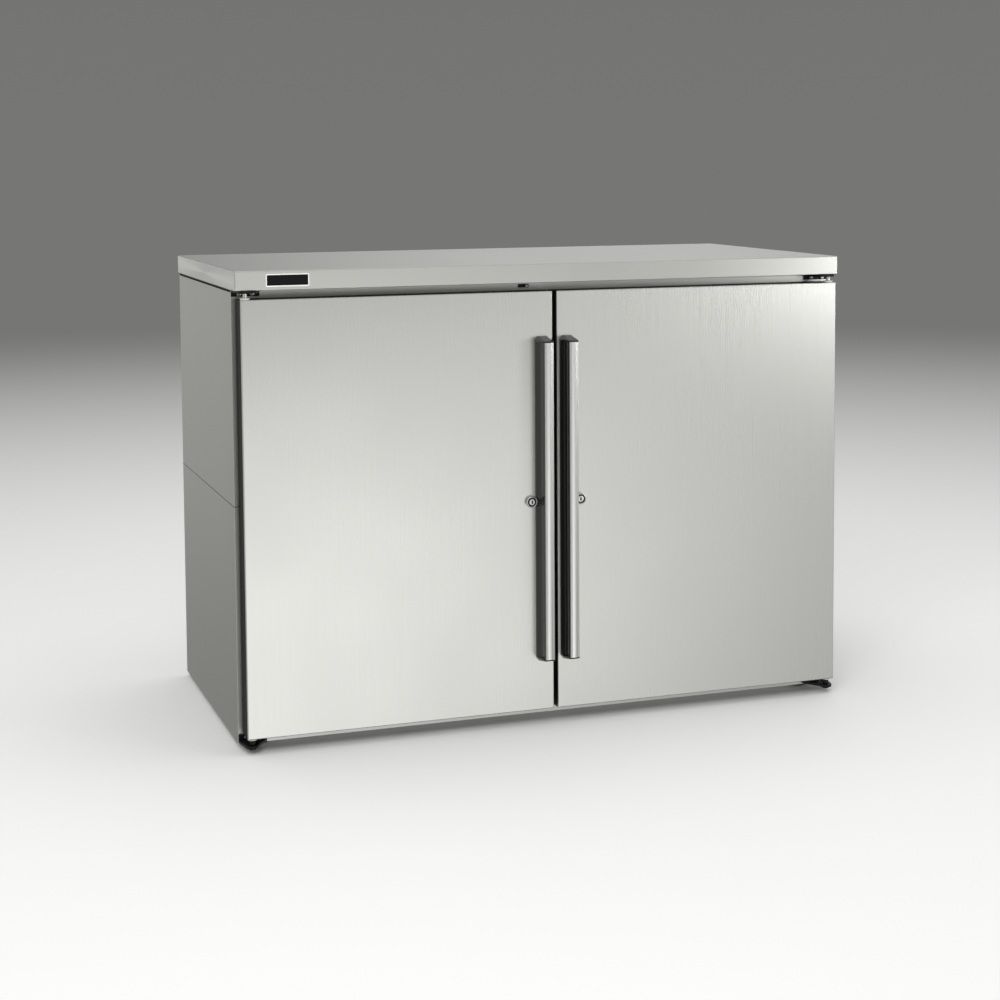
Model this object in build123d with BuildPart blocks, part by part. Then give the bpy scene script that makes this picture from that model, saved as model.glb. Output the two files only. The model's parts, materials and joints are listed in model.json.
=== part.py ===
from build123d import *
import os
from math import cos, pi, sin

# A two-door back bar refrigerator in stainless steel, in millimetres.
# The front faces -Y, +X is to the right seen from the front, and Z = 0 is the floor.
# The origin is the middle of the floor area that the whole refrigerator covers.

# Cabinet
cabinet_width = 1219.0         # end to end of the counter
overall_height = 889.0         # floor to the counter's surface
counter_depth = 610.0          # front apron to back apron
counter_thickness = 36.0       # height of the aprons
counter_sheet = 1.2
counter_bend = 2.0             # outside radius of the counter's folded edges
counter_hem_bend = 1.0         # and of its lower edge
counter_hem = 15.0             # flange turned in under the counter
floor_clearance = 9.0          # height of the glides
back_overhang = 10.0           # counter behind the cabinet's back
panel_inset = 1.0              # side panel inside the counter's end
panel_sheet = 1.0
panel_bend = 1.2               # outside radius of the side panels' folds
back_flange = 15.0             # side panel turned in over the back
seam_drop = 436.0              # counter's surface to the seam across the side
seam_gap = 1.2
frame_sheet = 1.2              # stainless front frame, top and sill
sill_return = 30.0
base_sheet = 1.5
base_upstand = 25.0
side_wall = 50.0               # insulated wall, outer sheet to liner
top_wall = 50.0
floor_wall = 66.0
back_wall = 50.0
step_wall = 45.0               # insulated wall round the machine compartment
liner_sheet = 1.0
breaker_face = 8.0             # plastic strip between the steel frame and the liner
breaker_lip = 1.5
breaker_return = 14.0
mullion_width = 60.0
mullion_depth = 50.0
mullion_sheet = 1.2
mullion_core_depth = 24.0

# Doors
door_projection = 10.0         # door face ahead of the counter's front
door_thickness = 45.0
door_side_inset = 9.0          # door edge inside the counter's end
door_top_gap = 16.0            # counter's lower edge to the door
door_bottom_height = 30.0      # floor to the door
door_centre_gap = 8.7          # between the two doors
skin_sheet = 1.0
skin_return = 5.0              # edge of the skin folded back
skin_bend = 1.5
edge_wall = 2.5                # plastic edge channel round the door
liner_raise = 6.0              # pressed panel in the door's inner liner
liner_raise_margin = 60.0
liner_raise_corner = 25.0
gasket_gap = 8.0               # door to cabinet, where the gasket lies
gasket_clearance = 0.4
gasket_width = 18.0
gasket_inset = 5.0             # from the door's top and sides
gasket_bottom_inset = 20.0
gasket_foot = 2.0
gasket_neck = 2.6
gasket_neck_width = 11.0
flange_margin = 3.0            # edge channel's flange beyond the gasket

# Handles
handle_projection = 40.0
handle_length = 626.0
handle_drop = 85.0             # door's top to the handle's top
handle_offset = 25.0           # centre of the cabinet to the middle of the handle
handle_base = 31.0             # width against the door
handle_front = 19.0            # width at the front
handle_waist = 18.0            # width in the finger hollow
handle_waist_height = 20.0
handle_foot = 5.0
handle_cap = 10.0
handle_cap_edge = 3.0          # upright part of the cap, before it slopes
handle_cap_margin = 0.6
handle_cap_slope = (0.66, 0.12)  # size of the cap's end against its outline, across and outwards
strip_depth = 3.0
strip_width = 17.6
strip_crown = 1.2
strip_seat = 1.0               # depth of the strip's seat in the grip

# Locks
lock_offset = 49.5             # centre of the cabinet to the key cylinder
lock_drop = 453.0              # counter's surface to the key cylinder
lock_rim = 11.0
lock_rim_height = 7.0
lock_rim_bevel = 1.5
lock_barrel = 9.5
lock_plug = 6.5
lock_fit = 0.05
lock_relief = 0.5              # handle's hollow round the key cylinder
key_slot_width = 2.0
key_slot_length = 9.0
key_slot_depth = 4.0
barrel_tail = 3.0              # barrel behind the door's liner
cam_gap = 11.0                 # cabinet's front face to the cam
cam_thickness = 3.0
cam_width = 12.0
cam_reach = 27.0
strike_clearance = 2.0

# Hinges
pin_inset = 10.5               # door's edge to the pin
pin_setback = 13.0             # door's face to the pin
pin_radius = 4.0
pin_engagement = 18.0
pin_fit = 0.05
bush_radius = 6.5
bush_depth = 25.0
bush_flange_radius = 9.0
bush_flange = 3.0
bush_fit = 0.1
collar_radius = 5.5
collar_clearance = 0.3
pin_head_radius = 7.0
pin_head = 3.5
bracket_plate = 4.0
bracket_drop = 0.5             # top plate below the counter's hem
bracket_plate_height = 12.0    # floor to the bottom plate
bracket_bottom_plate = 5.0
bracket_nose = 12.0            # radius of the plate round the pin
bracket_top_nose = 34.0        # width of the top plate's nose
bracket_width = 52.0           # against the cabinet
bracket_inset = 0.5            # bracket's outer edge inside the side panel
bracket_flange = 4.0
bracket_top_flange = 12.0
bracket_bottom_flange = 15.0
screw_spacing = 24.0
screw_head_radius = 3.8
screw_head = 2.6
screw_radius = 2.5
screw_fit = 0.1

# Name plate and light switch
plate_width = 80.0
plate_height = 23.0
plate_thickness = 1.5
plate_edge = 57.5              # counter's left end to the plate
plate_corner = 1.5
plate_border = 1.5
plate_recess = 0.4
switch_left = -54.0
switch_width = 20.0
switch_height = 6.5
switch_depth = 3.0
switch_drop = 8.0              # counter's lower edge to the middle of the switch
switch_slot_width = 14.0
switch_slot_height = 4.4
switch_slot_depth = 2.2
switch_travel = 9.0
switch_clearance = 0.3
switch_fit = 0.05
switch_tab_height = 2.0        # slider in front of the bezel

# Shelves
shelf_rod = 3.0                # radius of the frame rods
shelf_wire = 1.5               # radius of the wires
shelf_pitch = 25.0
shelf_inner = 14.0             # cabinet's centre to the shelf
shelf_side_gap = 8.5           # liner's side to the shelf
shelf_front_gap = 4.0          # behind the mullion's pilaster
shelf_back_gap = 8.0
shelf_heights = (352.0, 582.0) # floor to the underside of the shelves
shelf_corner = 12.0
pilaster_width = 14.0
pilaster_depth = 5.0
pilaster_pitch = 25.0
pilaster_slot = (4.0, 12.0)
pilaster_slot_depth = 3.0
pilaster_offset = 20.0         # centre pilasters, from the cabinet's centre
pilaster_front = 87.0          # front side pilaster, behind the cabinet's front
pilaster_back = 35.0           # back side pilaster, ahead of the cavity's back
pilaster_margin = 10.0
clip_reach = 12.0
clip_height = 9.0

# Machine compartment
machine_depth = 225.0
machine_height = 275.0
compressor_x = -190.0
compressor_radius = 76.0
compressor_height = 165.0
compressor_dome = 22.0
compressor_base = 14.0
compressor_lift = 6.0            # shell above the foot plate's underside
compressor_seam = 3.0
compressor_foot = 3.0
compressor_foot_reach = 83.0
mount_radius = 13.0
mount_height = 12.0
mount_bolt = 4.0
condenser_x = 330.0
condenser_thickness = 48.0
condenser_width = 190.0
condenser_height = 210.0
condenser_lift = 6.0
condenser_margin = 12.0        # end plates' edge beyond the fins
condenser_fins = 24
fin_sheet = 0.8
coil_tube = 4.5
fan_radius = 82.0
fan_hub = 20.0
fan_depth = 24.0
fan_pitch = 32.0               # blade angle in degrees
fan_blades = 5
fan_tip_gap = 4.0
shaft_radius = 3.0
shaft_fit = 0.05
shaft_length = 30.0
shroud_depth = 30.0
shroud_sheet = 1.5
motor_radius = 36.0
motor_length = 46.0
motor_arm = 8.0
motor_arm_sheet = 3.0
grille_margin = 3.0
grille_lap = 22.0              # grille above the compartment
grille_slot = (230.0, 5.0)
grille_columns = 4
grille_column_pitch = 268.0
grille_rows = 12
grille_row_pitch = 17.0
grille_slots_drop = 18.0       # slots below the grille's middle
inlet_size = (50.0, 28.0)
inlet_depth = 22.0
inlet_rim = 3.0
inlet_rim_thickness = 2.5
inlet_recess = 16.0
inlet_inset = 108.5            # side panel to the middle of the inlet
inlet_drop = 23.5              # compartment's top to the middle of the inlet
glide_radius = 22.0
glide_top_radius = 16.0
glide_inset_x = 45.0
glide_inset_y = 40.0

# Evaporator, drain, thermostat and light
evaporator_width = 460.0
evaporator_height = 196.0
evaporator_depth = 122.0
evaporator_sheet = 1.0
evaporator_fins = 34
evaporator_fin_pitch = 12.0
evaporator_coil_depth = 34.0
evaporator_coil_height = 150.0
evaporator_fan_radius = 68.0
evaporator_slot = (5.0, 110.0)
evaporator_slots = 8
evaporator_slot_pitch = 13.0
evaporator_slot_x = 160.0
tray_height = 12.0
tray_wall = 2.0
drain_x = 150.0
lines_setback = 15.0           # pipes behind the cavity's back
drain_radius = 6.0
drain_bore = 4.5
drain_hole_gap = 0.5
pan_size = (150.0, 90.0, 34.0)
pan_wall = 2.0
control_size = (28.0, 74.0, 56.0)
control_setback = 197.0        # behind the cabinet's front
control_drop = 68.0            # cavity's top to the control
knob_radius = 16.0
knob_height = 14.0
knob_clearance = 0.4
knob_spindle = 3.0
knob_spindle_length = 8.0
light_size = (420.0, 30.0, 16.0)
light_setback = 62.0           # behind the cabinet's front
line_radius = 4.0              # suction line
thin_line_radius = 3.0         # discharge and liquid lines
drier_radius = 11.0
drier_length = 90.0
drier_x = 40.0
drier_drop = 68.0              # liquid line's level run to the drier
suction_drop = 30.5            # compartment's top to the level runs of the two lines
liquid_drop = 17.5
discharge_rise = 52.5          # compressor's top to the discharge line's level run
header_gap = 8.0               # condenser's side to the lines beside it
row_spread = 0.4               # top and bottom coil rows from the middle, by height
stub_radius = 6.0              # pipe stubs on the compressor
stub_height = 6.0
suction_stub = (40.0, 24.0)    # from the compressor's middle
discharge_stub = (-30.0, 0.0)

# Levels and places that follow from the sizes above
overall_depth = counter_depth + door_projection + handle_projection
half_width = cabinet_width / 2
handle_face_y = -overall_depth / 2
door_face_y = handle_face_y + handle_projection
counter_front_y = door_face_y + door_projection
counter_back_y = counter_front_y + counter_depth
door_back_y = door_face_y + door_thickness
body_front_y = door_back_y + gasket_gap
body_back_y = counter_back_y - back_overhang
panel_x = half_width - panel_inset
body_top = overall_height - counter_thickness
body_bottom = floor_clearance
seam_height = overall_height - seam_drop
cavity_x = panel_x - side_wall
cavity_floor = body_bottom + floor_wall
cavity_top = body_top - top_wall
cavity_back_y = body_back_y - back_wall
base_top = body_bottom + base_sheet
back_sheet_y = body_back_y - panel_sheet
foam_back_y = back_sheet_y - panel_sheet
foam_front_y = body_front_y + frame_sheet
foam_top = body_top - frame_sheet
foam_x = panel_x - panel_sheet
machine_front_y = foam_back_y - machine_depth
machine_top = base_top + machine_height
step_y = machine_front_y - panel_sheet - step_wall
step_top = machine_top + panel_sheet + step_wall
frame_edge_x = cavity_x + breaker_face
frame_edge_top = cavity_top + breaker_face
frame_edge_floor = cavity_floor - breaker_face
mullion_back_y = body_front_y + mullion_depth
door_outer_x = half_width - door_side_inset
door_inner_x = door_centre_gap / 2
door_top = body_top - door_top_gap
door_bottom = door_bottom_height
lock_height = overall_height - lock_drop
pin_x = door_outer_x - pin_inset
pin_y = door_face_y + pin_setback
machine_middle_y = (machine_front_y + foam_back_y) / 2
lines_y = cavity_back_y + lines_setback
compressor_top = base_top + mount_height + compressor_height
suction_height = machine_top - suction_drop
liquid_height = machine_top - liquid_drop
drier_top = liquid_height - drier_drop
discharge_height = compressor_top + discharge_rise
inlet_x = panel_x - inlet_inset
inlet_height = machine_top - inlet_drop
shelf_outer = cavity_x - shelf_side_gap
control_y = body_front_y + control_setback
control_height = cavity_top - control_drop
bracket_outer_x = panel_x - bracket_inset
housing_front_y = cavity_back_y - evaporator_depth
housing_bottom = cavity_top - evaporator_height
evaporator_middle = cavity_top - evaporator_height / 2
evaporator_coil_y = cavity_back_y - evaporator_coil_depth / 2
header_x = (evaporator_fins + 1) * evaporator_fin_pitch / 2 + coil_tube
header_line_z = evaporator_middle - evaporator_coil_height * 0.3
drain_z = housing_bottom - tray_height + tray_wall + drain_bore
sides = (("left", -1), ("right", 1))


def span(middle, size):
    return (middle - size / 2, middle + size / 2)


def out(side, inner, outer):
    # a range of X measured outwards from the middle, on the left (-1) or the right (1)
    return (side * inner, side * outer)


def block(x, y, z, mode=Mode.ADD):
    # fills the three ranges, as part of the piece being built
    with BuildSketch(Plane.XY.offset(min(z))) as outline:
        with Locations(((x[0] + x[1]) / 2, (y[0] + y[1]) / 2)):
            Rectangle(abs(x[1] - x[0]), abs(y[1] - y[0]))
    extrude(outline.sketch, amount=abs(z[1] - z[0]), mode=mode)


def rod(start, direction, radius, length, mode=Mode.ADD):
    # a round bar, or a round hole, from its start along a direction
    with BuildSketch(Plane(origin=start, z_dir=direction)) as outline:
        Circle(radius)
    extrude(outline.sketch, amount=length, mode=mode)


def save(piece, name):
    piece.label = name
    export_step(piece, f"parts/{name}.step")


def group(pieces):
    # separate solids that share one name
    return Compound([solid for piece in pieces for solid in piece.solids()])


def counter():
    inside_x = span(0, cabinet_width - 2 * counter_sheet)
    inside_y = (counter_front_y + counter_sheet, counter_back_y - counter_sheet)
    opening_x = span(0, cabinet_width - 2 * counter_hem)
    opening_y = (counter_front_y + counter_hem, counter_back_y - counter_hem)
    inside_z = (body_top + counter_sheet, overall_height - counter_sheet)
    hem_z = (body_top, body_top + counter_sheet)
    with BuildPart() as counter_top:
        block(span(0, cabinet_width), (counter_front_y, counter_back_y), (body_top, overall_height))
        folds = counter_top.edges().filter_by(Axis.Z) + counter_top.edges().group_by(Axis.Z)[-1]
        fillet(folds, counter_bend)
        fillet(counter_top.faces().sort_by(Axis.Z)[0].edges(), counter_hem_bend)
        block(inside_x, inside_y, inside_z, Mode.SUBTRACT)
        block(opening_x, opening_y, hem_z, Mode.SUBTRACT)
    save(counter_top.part, "counter_top")
    with BuildPart() as counter_core:
        block(inside_x, inside_y, inside_z)
        block(opening_x, opening_y, hem_z)
    save(counter_core.part, "counter_core")


def name_plate():
    left = plate_edge - half_width
    x = (left, left + plate_width)
    y = (counter_front_y - plate_thickness, counter_front_y)
    z = span(body_top + counter_thickness / 2, plate_height)
    with BuildPart() as plate:
        block(x, y, z)
        fillet(plate.edges().filter_by(Axis.Y), plate_corner)
        block((x[0] + plate_border, x[1] - plate_border), (y[0], y[0] + plate_recess),
              (z[0] + plate_border, z[1] - plate_border), Mode.SUBTRACT)
    save(plate.part, "name_plate")


def side_panel(side, z):
    flange_x = out(side, frame_edge_x, panel_x)
    with BuildPart() as panel:
        block(out(side, foam_x, panel_x), (body_front_y, body_back_y), z)
        block(flange_x, (body_front_y, body_front_y + panel_sheet), z)
        block(out(side, panel_x - back_flange, panel_x), (back_sheet_y, body_back_y), z)
        corners = panel.edges().filter_by(Axis.Z).group_by(Axis.X)[0 if side < 0 else -1]
        fillet(corners, panel_bend)
        for height in (door_top_bracket_middle(), door_bottom_bracket_middle()):
            for x in bracket_screw_places(side):
                if z[0] < height < z[1] and abs(x) > frame_edge_x:
                    rod((x, body_front_y, height), (0, 1, 0), screw_radius + screw_fit, panel_sheet,
                        Mode.SUBTRACT)
    return panel.part


def side_panels():
    for name, side in sides:
        upper = (seam_height + seam_gap / 2, body_top)
        lower = (body_bottom, seam_height - seam_gap / 2)
        save(side_panel(side, upper), f"{name}_upper_side_panel")
        save(side_panel(side, lower), f"{name}_lower_side_panel")


def bracket_screw_places(side):
    middle = bracket_outer_x - bracket_width / 2
    return [side * (middle - screw_spacing / 2), side * (middle + screw_spacing / 2)]


def door_top_bracket_middle():
    return body_top - bracket_drop - bracket_plate - (bracket_top_flange - bracket_plate) / 2


def door_bottom_bracket_middle():
    low = bracket_plate_height + bracket_bottom_plate
    return low + (bracket_bottom_flange - bracket_bottom_plate) / 2


def frame_screw_holes(height, sheet):
    # holes in the front frame for the screws of the hinge brackets
    for name, side in sides:
        for x in bracket_screw_places(side):
            if abs(x) < frame_edge_x:
                rod((x, body_front_y, height), (0, 1, 0), screw_radius + screw_fit, sheet, Mode.SUBTRACT)


def front_frame():
    rail_x = span(0, 2 * frame_edge_x)
    sheet_x = span(0, 2 * foam_x)
    face_y = (body_front_y, foam_front_y)
    with BuildPart() as top_panel:
        block(rail_x, face_y, (frame_edge_top, body_top))
        block(sheet_x, (foam_front_y, back_sheet_y), (foam_top, body_top))
        frame_screw_holes(door_top_bracket_middle(), frame_sheet)
    save(top_panel.part, "top_panel")
    with BuildPart() as sill:
        block(rail_x, face_y, (body_bottom, frame_edge_floor))
        block(sheet_x, (foam_front_y, body_front_y + sill_return), (body_bottom, body_bottom + frame_sheet))
        frame_screw_holes(door_bottom_bracket_middle(), frame_sheet)
    save(sill.part, "bottom_sill")
    with BuildPart() as breaker:
        block(rail_x, face_y, (frame_edge_floor, frame_edge_top))
        block(span(0, 2 * cavity_x), (foam_front_y, body_front_y + breaker_return), (cavity_floor, cavity_top))
        block(span(0, 2 * (cavity_x - breaker_lip)), (body_front_y, body_front_y + breaker_return),
              (cavity_floor + breaker_lip, cavity_top - breaker_lip), Mode.SUBTRACT)
    save(breaker.part, "breaker_strips")


def mullion():
    z = (cavity_floor + breaker_lip, cavity_top - breaker_lip)
    inside_x = span(0, mullion_width - 2 * mullion_sheet)
    cam_y = (body_front_y + cam_gap - strike_clearance,
             body_front_y + cam_gap + cam_thickness + strike_clearance)
    with BuildPart() as post:
        block(span(0, mullion_width), (body_front_y, mullion_back_y), z)
        fillet(post.edges().filter_by(Axis.Z), mullion_sheet / 2)
        block(inside_x, (body_front_y + mullion_sheet, mullion_back_y - mullion_sheet), z, Mode.SUBTRACT)
        block(span(0, mullion_width), cam_y, (lock_height - cam_reach,
              lock_height + cam_width / 2 + strike_clearance), Mode.SUBTRACT)
    save(post.part, "centre_mullion")


def back_and_base():
    wall_y = (foam_back_y, back_sheet_y)
    inside_x = cavity_x + liner_sheet
    with BuildPart() as back:
        block(span(0, 2 * foam_x), wall_y, (base_top, foam_top))
        block(span(0, 2 * inside_x), wall_y, (base_top, machine_top), Mode.SUBTRACT)
        block(span(0, 2 * inside_x), (machine_front_y - panel_sheet, back_sheet_y),
              (base_top, machine_top + panel_sheet))
        block(span(0, 2 * (inside_x - panel_sheet)), (machine_front_y, back_sheet_y),
              (base_top, machine_top), Mode.SUBTRACT)
        drop_holes(machine_top, panel_sheet)
        grille_screw_holes(foam_back_y, panel_sheet)
    save(back.part, "back_panel")
    with BuildPart() as base:
        block(span(0, 2 * foam_x), (body_front_y + sill_return, back_sheet_y), (body_bottom, base_top))
        block(span(0, 2 * inside_x - 2 * panel_sheet), (foam_back_y - base_sheet, foam_back_y),
              (base_top, base_top + base_upstand))
        for x, y in compressor_bolts():
            rod((x, y, body_bottom), (0, 0, 1), mount_bolt + screw_fit, base_sheet, Mode.SUBTRACT)
    save(base.part, "base_pan")


def drop_places():
    # where the drain and the two refrigerant lines leave the cavity: x, height and radius
    return ((drain_x, drain_z, drain_radius), (header_x, header_line_z, line_radius),
            (-header_x, header_line_z, thin_line_radius))


def drop_holes(bottom, depth):
    for x, z, radius in drop_places():
        rod((x, lines_y, bottom), (0, 0, 1), radius + drain_hole_gap, depth, Mode.SUBTRACT)


def drop_grooves():
    # channels behind the liner that the pipes run down in
    for x, z, radius in drop_places():
        reach = radius + drain_hole_gap
        block(span(x, 2 * reach), (cavity_back_y + liner_sheet, lines_y + reach),
              (step_top - liner_sheet, z + reach), Mode.SUBTRACT)


def insulation():
    inside_x = cavity_x + liner_sheet
    wall_y = (foam_front_y, foam_back_y)
    step_back = machine_front_y - panel_sheet
    low_top = cavity_floor - liner_sheet
    step_bottom = machine_top + panel_sheet
    high_bottom = cavity_top + liner_sheet
    slabs = []
    for name, side in sides:
        with BuildPart() as wall:
            block(out(side, inside_x, foam_x), wall_y, (base_top, foam_top))
        slabs.append(wall.part)
    ranges = (
        (wall_y, (high_bottom, foam_top)),
        ((foam_front_y, step_back), (base_top, low_top)),
        ((step_y + liner_sheet, step_back), (low_top, step_bottom)),
    )
    for y, z in ranges:
        with BuildPart() as slab:
            block(span(0, 2 * inside_x), y, z)
        slabs.append(slab.part)
    with BuildPart() as shelf:
        block(span(0, 2 * inside_x), (step_y + liner_sheet, foam_back_y),
              (step_bottom, step_top - liner_sheet))
        drop_holes(step_bottom, step_wall)
    slabs.append(shelf.part)
    with BuildPart() as back_slab:
        block(span(0, 2 * inside_x), (cavity_back_y + liner_sheet, foam_back_y),
              (step_top - liner_sheet, high_bottom))
        drop_grooves()
    slabs.append(back_slab.part)
    with BuildPart() as post_core:
        block(span(0, mullion_width - 2 * mullion_sheet),
              (mullion_back_y - mullion_sheet - mullion_core_depth, mullion_back_y - mullion_sheet),
              (cavity_floor + breaker_lip, cavity_top - breaker_lip))
    slabs.append(post_core.part)
    save(group(slabs), "insulation_slabs")


def cavity_outline(margin, front):
    # corners of the cavity seen from the side, grown by a margin, with the step over the compartment
    return ((front, cavity_floor - margin), (step_y + margin, cavity_floor - margin),
            (step_y + margin, step_top - margin), (cavity_back_y + margin, step_top - margin),
            (cavity_back_y + margin, cavity_top + margin), (front, cavity_top + margin))


def liner():
    with BuildPart() as inner_liner:
        with BuildSketch(Plane.YZ):
            Polygon(*cavity_outline(liner_sheet, foam_front_y), align=None)
        extrude(amount=cavity_x + liner_sheet, both=True)
        with BuildSketch(Plane.YZ):
            Polygon(*cavity_outline(0, foam_front_y - liner_sheet), align=None)
        extrude(amount=cavity_x, both=True, mode=Mode.SUBTRACT)
        for x, z, radius in drop_places():
            rod((x, cavity_back_y, z), (0, 1, 0), radius + drain_hole_gap, liner_sheet, Mode.SUBTRACT)
    save(inner_liner.part, "inner_liner")


def shelf_levels():
    return [height + shelf_rod for height in shelf_heights]


def shelf_edges():
    front = mullion_back_y + pilaster_depth + shelf_front_gap
    return (front, cavity_back_y - shelf_back_gap)


def shelves():
    front, back = shelf_edges()
    width = shelf_outer - shelf_inner
    middle = (shelf_inner + shelf_outer) / 2
    wires = int((width - 4 * shelf_rod) // shelf_pitch)
    with BuildPart() as shelf:
        with BuildSketch(Plane.XY.offset(-shelf_rod)):
            RectangleRounded(width, back - front, shelf_corner)
            RectangleRounded(width - 4 * shelf_rod, back - front - 4 * shelf_rod,
                             shelf_corner - 2 * shelf_rod, mode=Mode.SUBTRACT)
        extrude(amount=2 * shelf_rod)
        chamfer(shelf.edges().group_by(Axis.Z)[0] + shelf.edges().group_by(Axis.Z)[-1], shelf_rod / 2)
        with BuildSketch(Plane.XZ.offset(-(back - front) / 2 + shelf_rod)):
            with Locations((0, shelf_rod - shelf_wire)):
                with GridLocations(shelf_pitch, 1, wires, 1):
                    Circle(shelf_wire)
        extrude(amount=back - front - 2 * shelf_rod)
        with BuildSketch(Plane.YZ.offset(-width / 2 + shelf_rod)):
            with Locations((0, shelf_rod - 2.7 * shelf_wire)):
                with GridLocations((back - front) / 3, 1, 2, 1):
                    Circle(shelf_wire)
        extrude(amount=width - 2 * shelf_rod)
    placed = []
    for name, side in sides:
        for level in shelf_levels():
            placed.append(shelf.part.moved(Location((side * middle, (front + back) / 2, level))))
    save(group(placed), "wire_shelves")


def pilaster(place, facing, z):
    # a slotted strip whose back stands at a place on a wall, and whose face looks along facing
    plane = Plane(origin=(place[0], place[1], z[0]), x_dir=(0, 0, 1), z_dir=facing)
    length = z[1] - z[0]
    slots = int(length // pilaster_pitch)
    with BuildPart() as strip:
        with BuildSketch(plane):
            with Locations((length / 2, 0)):
                Rectangle(length, pilaster_width)
        extrude(amount=pilaster_depth)
        with BuildSketch(plane.offset(pilaster_depth)):
            with Locations((length / 2, 0)):
                with GridLocations(pilaster_pitch, 1, slots, 1):
                    Rectangle(*pilaster_slot)
        extrude(amount=-pilaster_slot_depth, mode=Mode.SUBTRACT)
    return strip.part


def clip(place, facing, level):
    # a shelf clip under a frame rod, hooked on the face of a pilaster
    plane = Plane(origin=(place[0], place[1], level), x_dir=(0, 0, 1), z_dir=facing)
    with BuildPart() as hook:
        with BuildSketch(plane.offset(pilaster_depth)):
            with Locations((-clip_height / 2, 0)):
                Rectangle(clip_height, pilaster_width - 2)
        extrude(amount=clip_reach)
        tip = hook.faces().sort_by(Axis((0, 0, 0), facing))[-1]
        chamfer(tip.edges().sort_by(Axis.Z)[0], clip_height * 0.7)
    return hook.part


def shelf_supports():
    tall = (step_top + pilaster_margin, cavity_top - pilaster_margin)
    short = (step_top + pilaster_margin, housing_bottom - tray_height - pilaster_margin)
    pieces = []
    for name, side in sides:
        places = (
            ((side * cavity_x, body_front_y + pilaster_front), (-side, 0, 0), tall),
            ((side * cavity_x, cavity_back_y - pilaster_back), (-side, 0, 0), tall),
            ((side * pilaster_offset, mullion_back_y), (0, 1, 0), tall),
            ((side * pilaster_offset, cavity_back_y), (0, -1, 0), short),
        )
        for place, facing, z in places:
            pieces.append(pilaster(place, facing, z))
            for height in shelf_heights:
                pieces.append(clip(place, facing, height))
    save(group(pieces), "shelf_supports")


def evaporator():
    x = span(0, evaporator_width)
    z = (housing_bottom, cavity_top)
    fan_z = evaporator_middle
    with BuildPart() as housing:
        block(x, (housing_front_y, cavity_back_y), z)
        block((x[0] + evaporator_sheet, x[1] - evaporator_sheet),
              (housing_front_y + evaporator_sheet, cavity_back_y), z, Mode.SUBTRACT)
        rod((0, housing_front_y, fan_z), (0, 1, 0), evaporator_fan_radius + fan_tip_gap, evaporator_sheet,
            Mode.SUBTRACT)
        with BuildSketch(Plane.XZ.offset(-housing_front_y)):
            for side in (-1, 1):
                with Locations((side * evaporator_slot_x, fan_z)):
                    with GridLocations(evaporator_slot_pitch, 1, evaporator_slots, 1):
                        SlotOverall(evaporator_slot[1], evaporator_slot[0], rotation=90)
        extrude(amount=-evaporator_sheet, mode=Mode.SUBTRACT)
    save(housing.part, "evaporator_housing")
    with BuildPart() as coil:
        with BuildSketch(Plane.YZ.offset(-(evaporator_fins - 1) * evaporator_fin_pitch / 2)):
            with Locations((evaporator_coil_y, fan_z)):
                Rectangle(evaporator_coil_depth, evaporator_coil_height)
        extrude(amount=fin_sheet)
        fin = coil.part
        for count in range(1, evaporator_fins):
            add(fin.moved(Location((count * evaporator_fin_pitch, 0, 0))))
        reach = (evaporator_fins + 1) * evaporator_fin_pitch
        with BuildSketch(Plane.YZ.offset(-reach / 2)):
            with Locations((evaporator_coil_y, fan_z)):
                with GridLocations(1, evaporator_coil_height / 4, 1, 4):
                    Circle(coil_tube)
        extrude(amount=reach)
        for end in (-1, 1):
            block(out(end, reach / 2, reach / 2 + 2 * coil_tube), span(evaporator_coil_y, 2 * coil_tube),
                  span(fan_z, evaporator_coil_height * 0.75 + 2 * coil_tube))
    save(coil.part, "evaporator_coil")


def tube(points, radius, bend, bore=0.0):
    # a bent pipe: straight runs joined by arcs of one radius
    with BuildPart() as pipe:
        with BuildLine() as route:
            FilletPolyline(*points, radius=bend)
        with BuildSketch(Plane(origin=route.line @ 0, z_dir=route.line % 0)):
            Circle(radius)
            if bore:
                Circle(bore, mode=Mode.SUBTRACT)
        sweep(path=route.line)
    return pipe.part


def drain():
    x = span(0, evaporator_width)
    y = (housing_front_y, cavity_back_y)
    z = (housing_bottom - tray_height, housing_bottom)
    with BuildPart() as tray:
        block(x, y, z)
        block((x[0] + tray_wall, x[1] - tray_wall), (y[0] + tray_wall, y[1] - tray_wall),
              (z[0] + tray_wall, z[1]), Mode.SUBTRACT)
        rod((drain_x, y[1], drain_z), (0, -1, 0), drain_bore, tray_wall, Mode.SUBTRACT)
    pan_top = base_top + pan_size[2]
    hose = tube([(drain_x, cavity_back_y, drain_z), (drain_x, lines_y, drain_z),
                 (drain_x, lines_y, pan_top - pan_wall)], drain_radius, drain_radius + 1, drain_bore)
    pan_x = span(drain_x, pan_size[0])
    pan_y = span(lines_y - pan_size[1] / 2 + drain_radius + 2 * pan_wall, pan_size[1])
    with BuildPart() as pan:
        block(pan_x, pan_y, (base_top, pan_top))
        fillet(pan.edges().filter_by(Axis.Z), 4 * pan_wall)
        block((pan_x[0] + pan_wall, pan_x[1] - pan_wall), (pan_y[0] + pan_wall, pan_y[1] - pan_wall),
              (base_top + pan_wall, pan_top), Mode.SUBTRACT)
    save(group([tray.part, hose, pan.part]), "condensate_drain")


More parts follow.
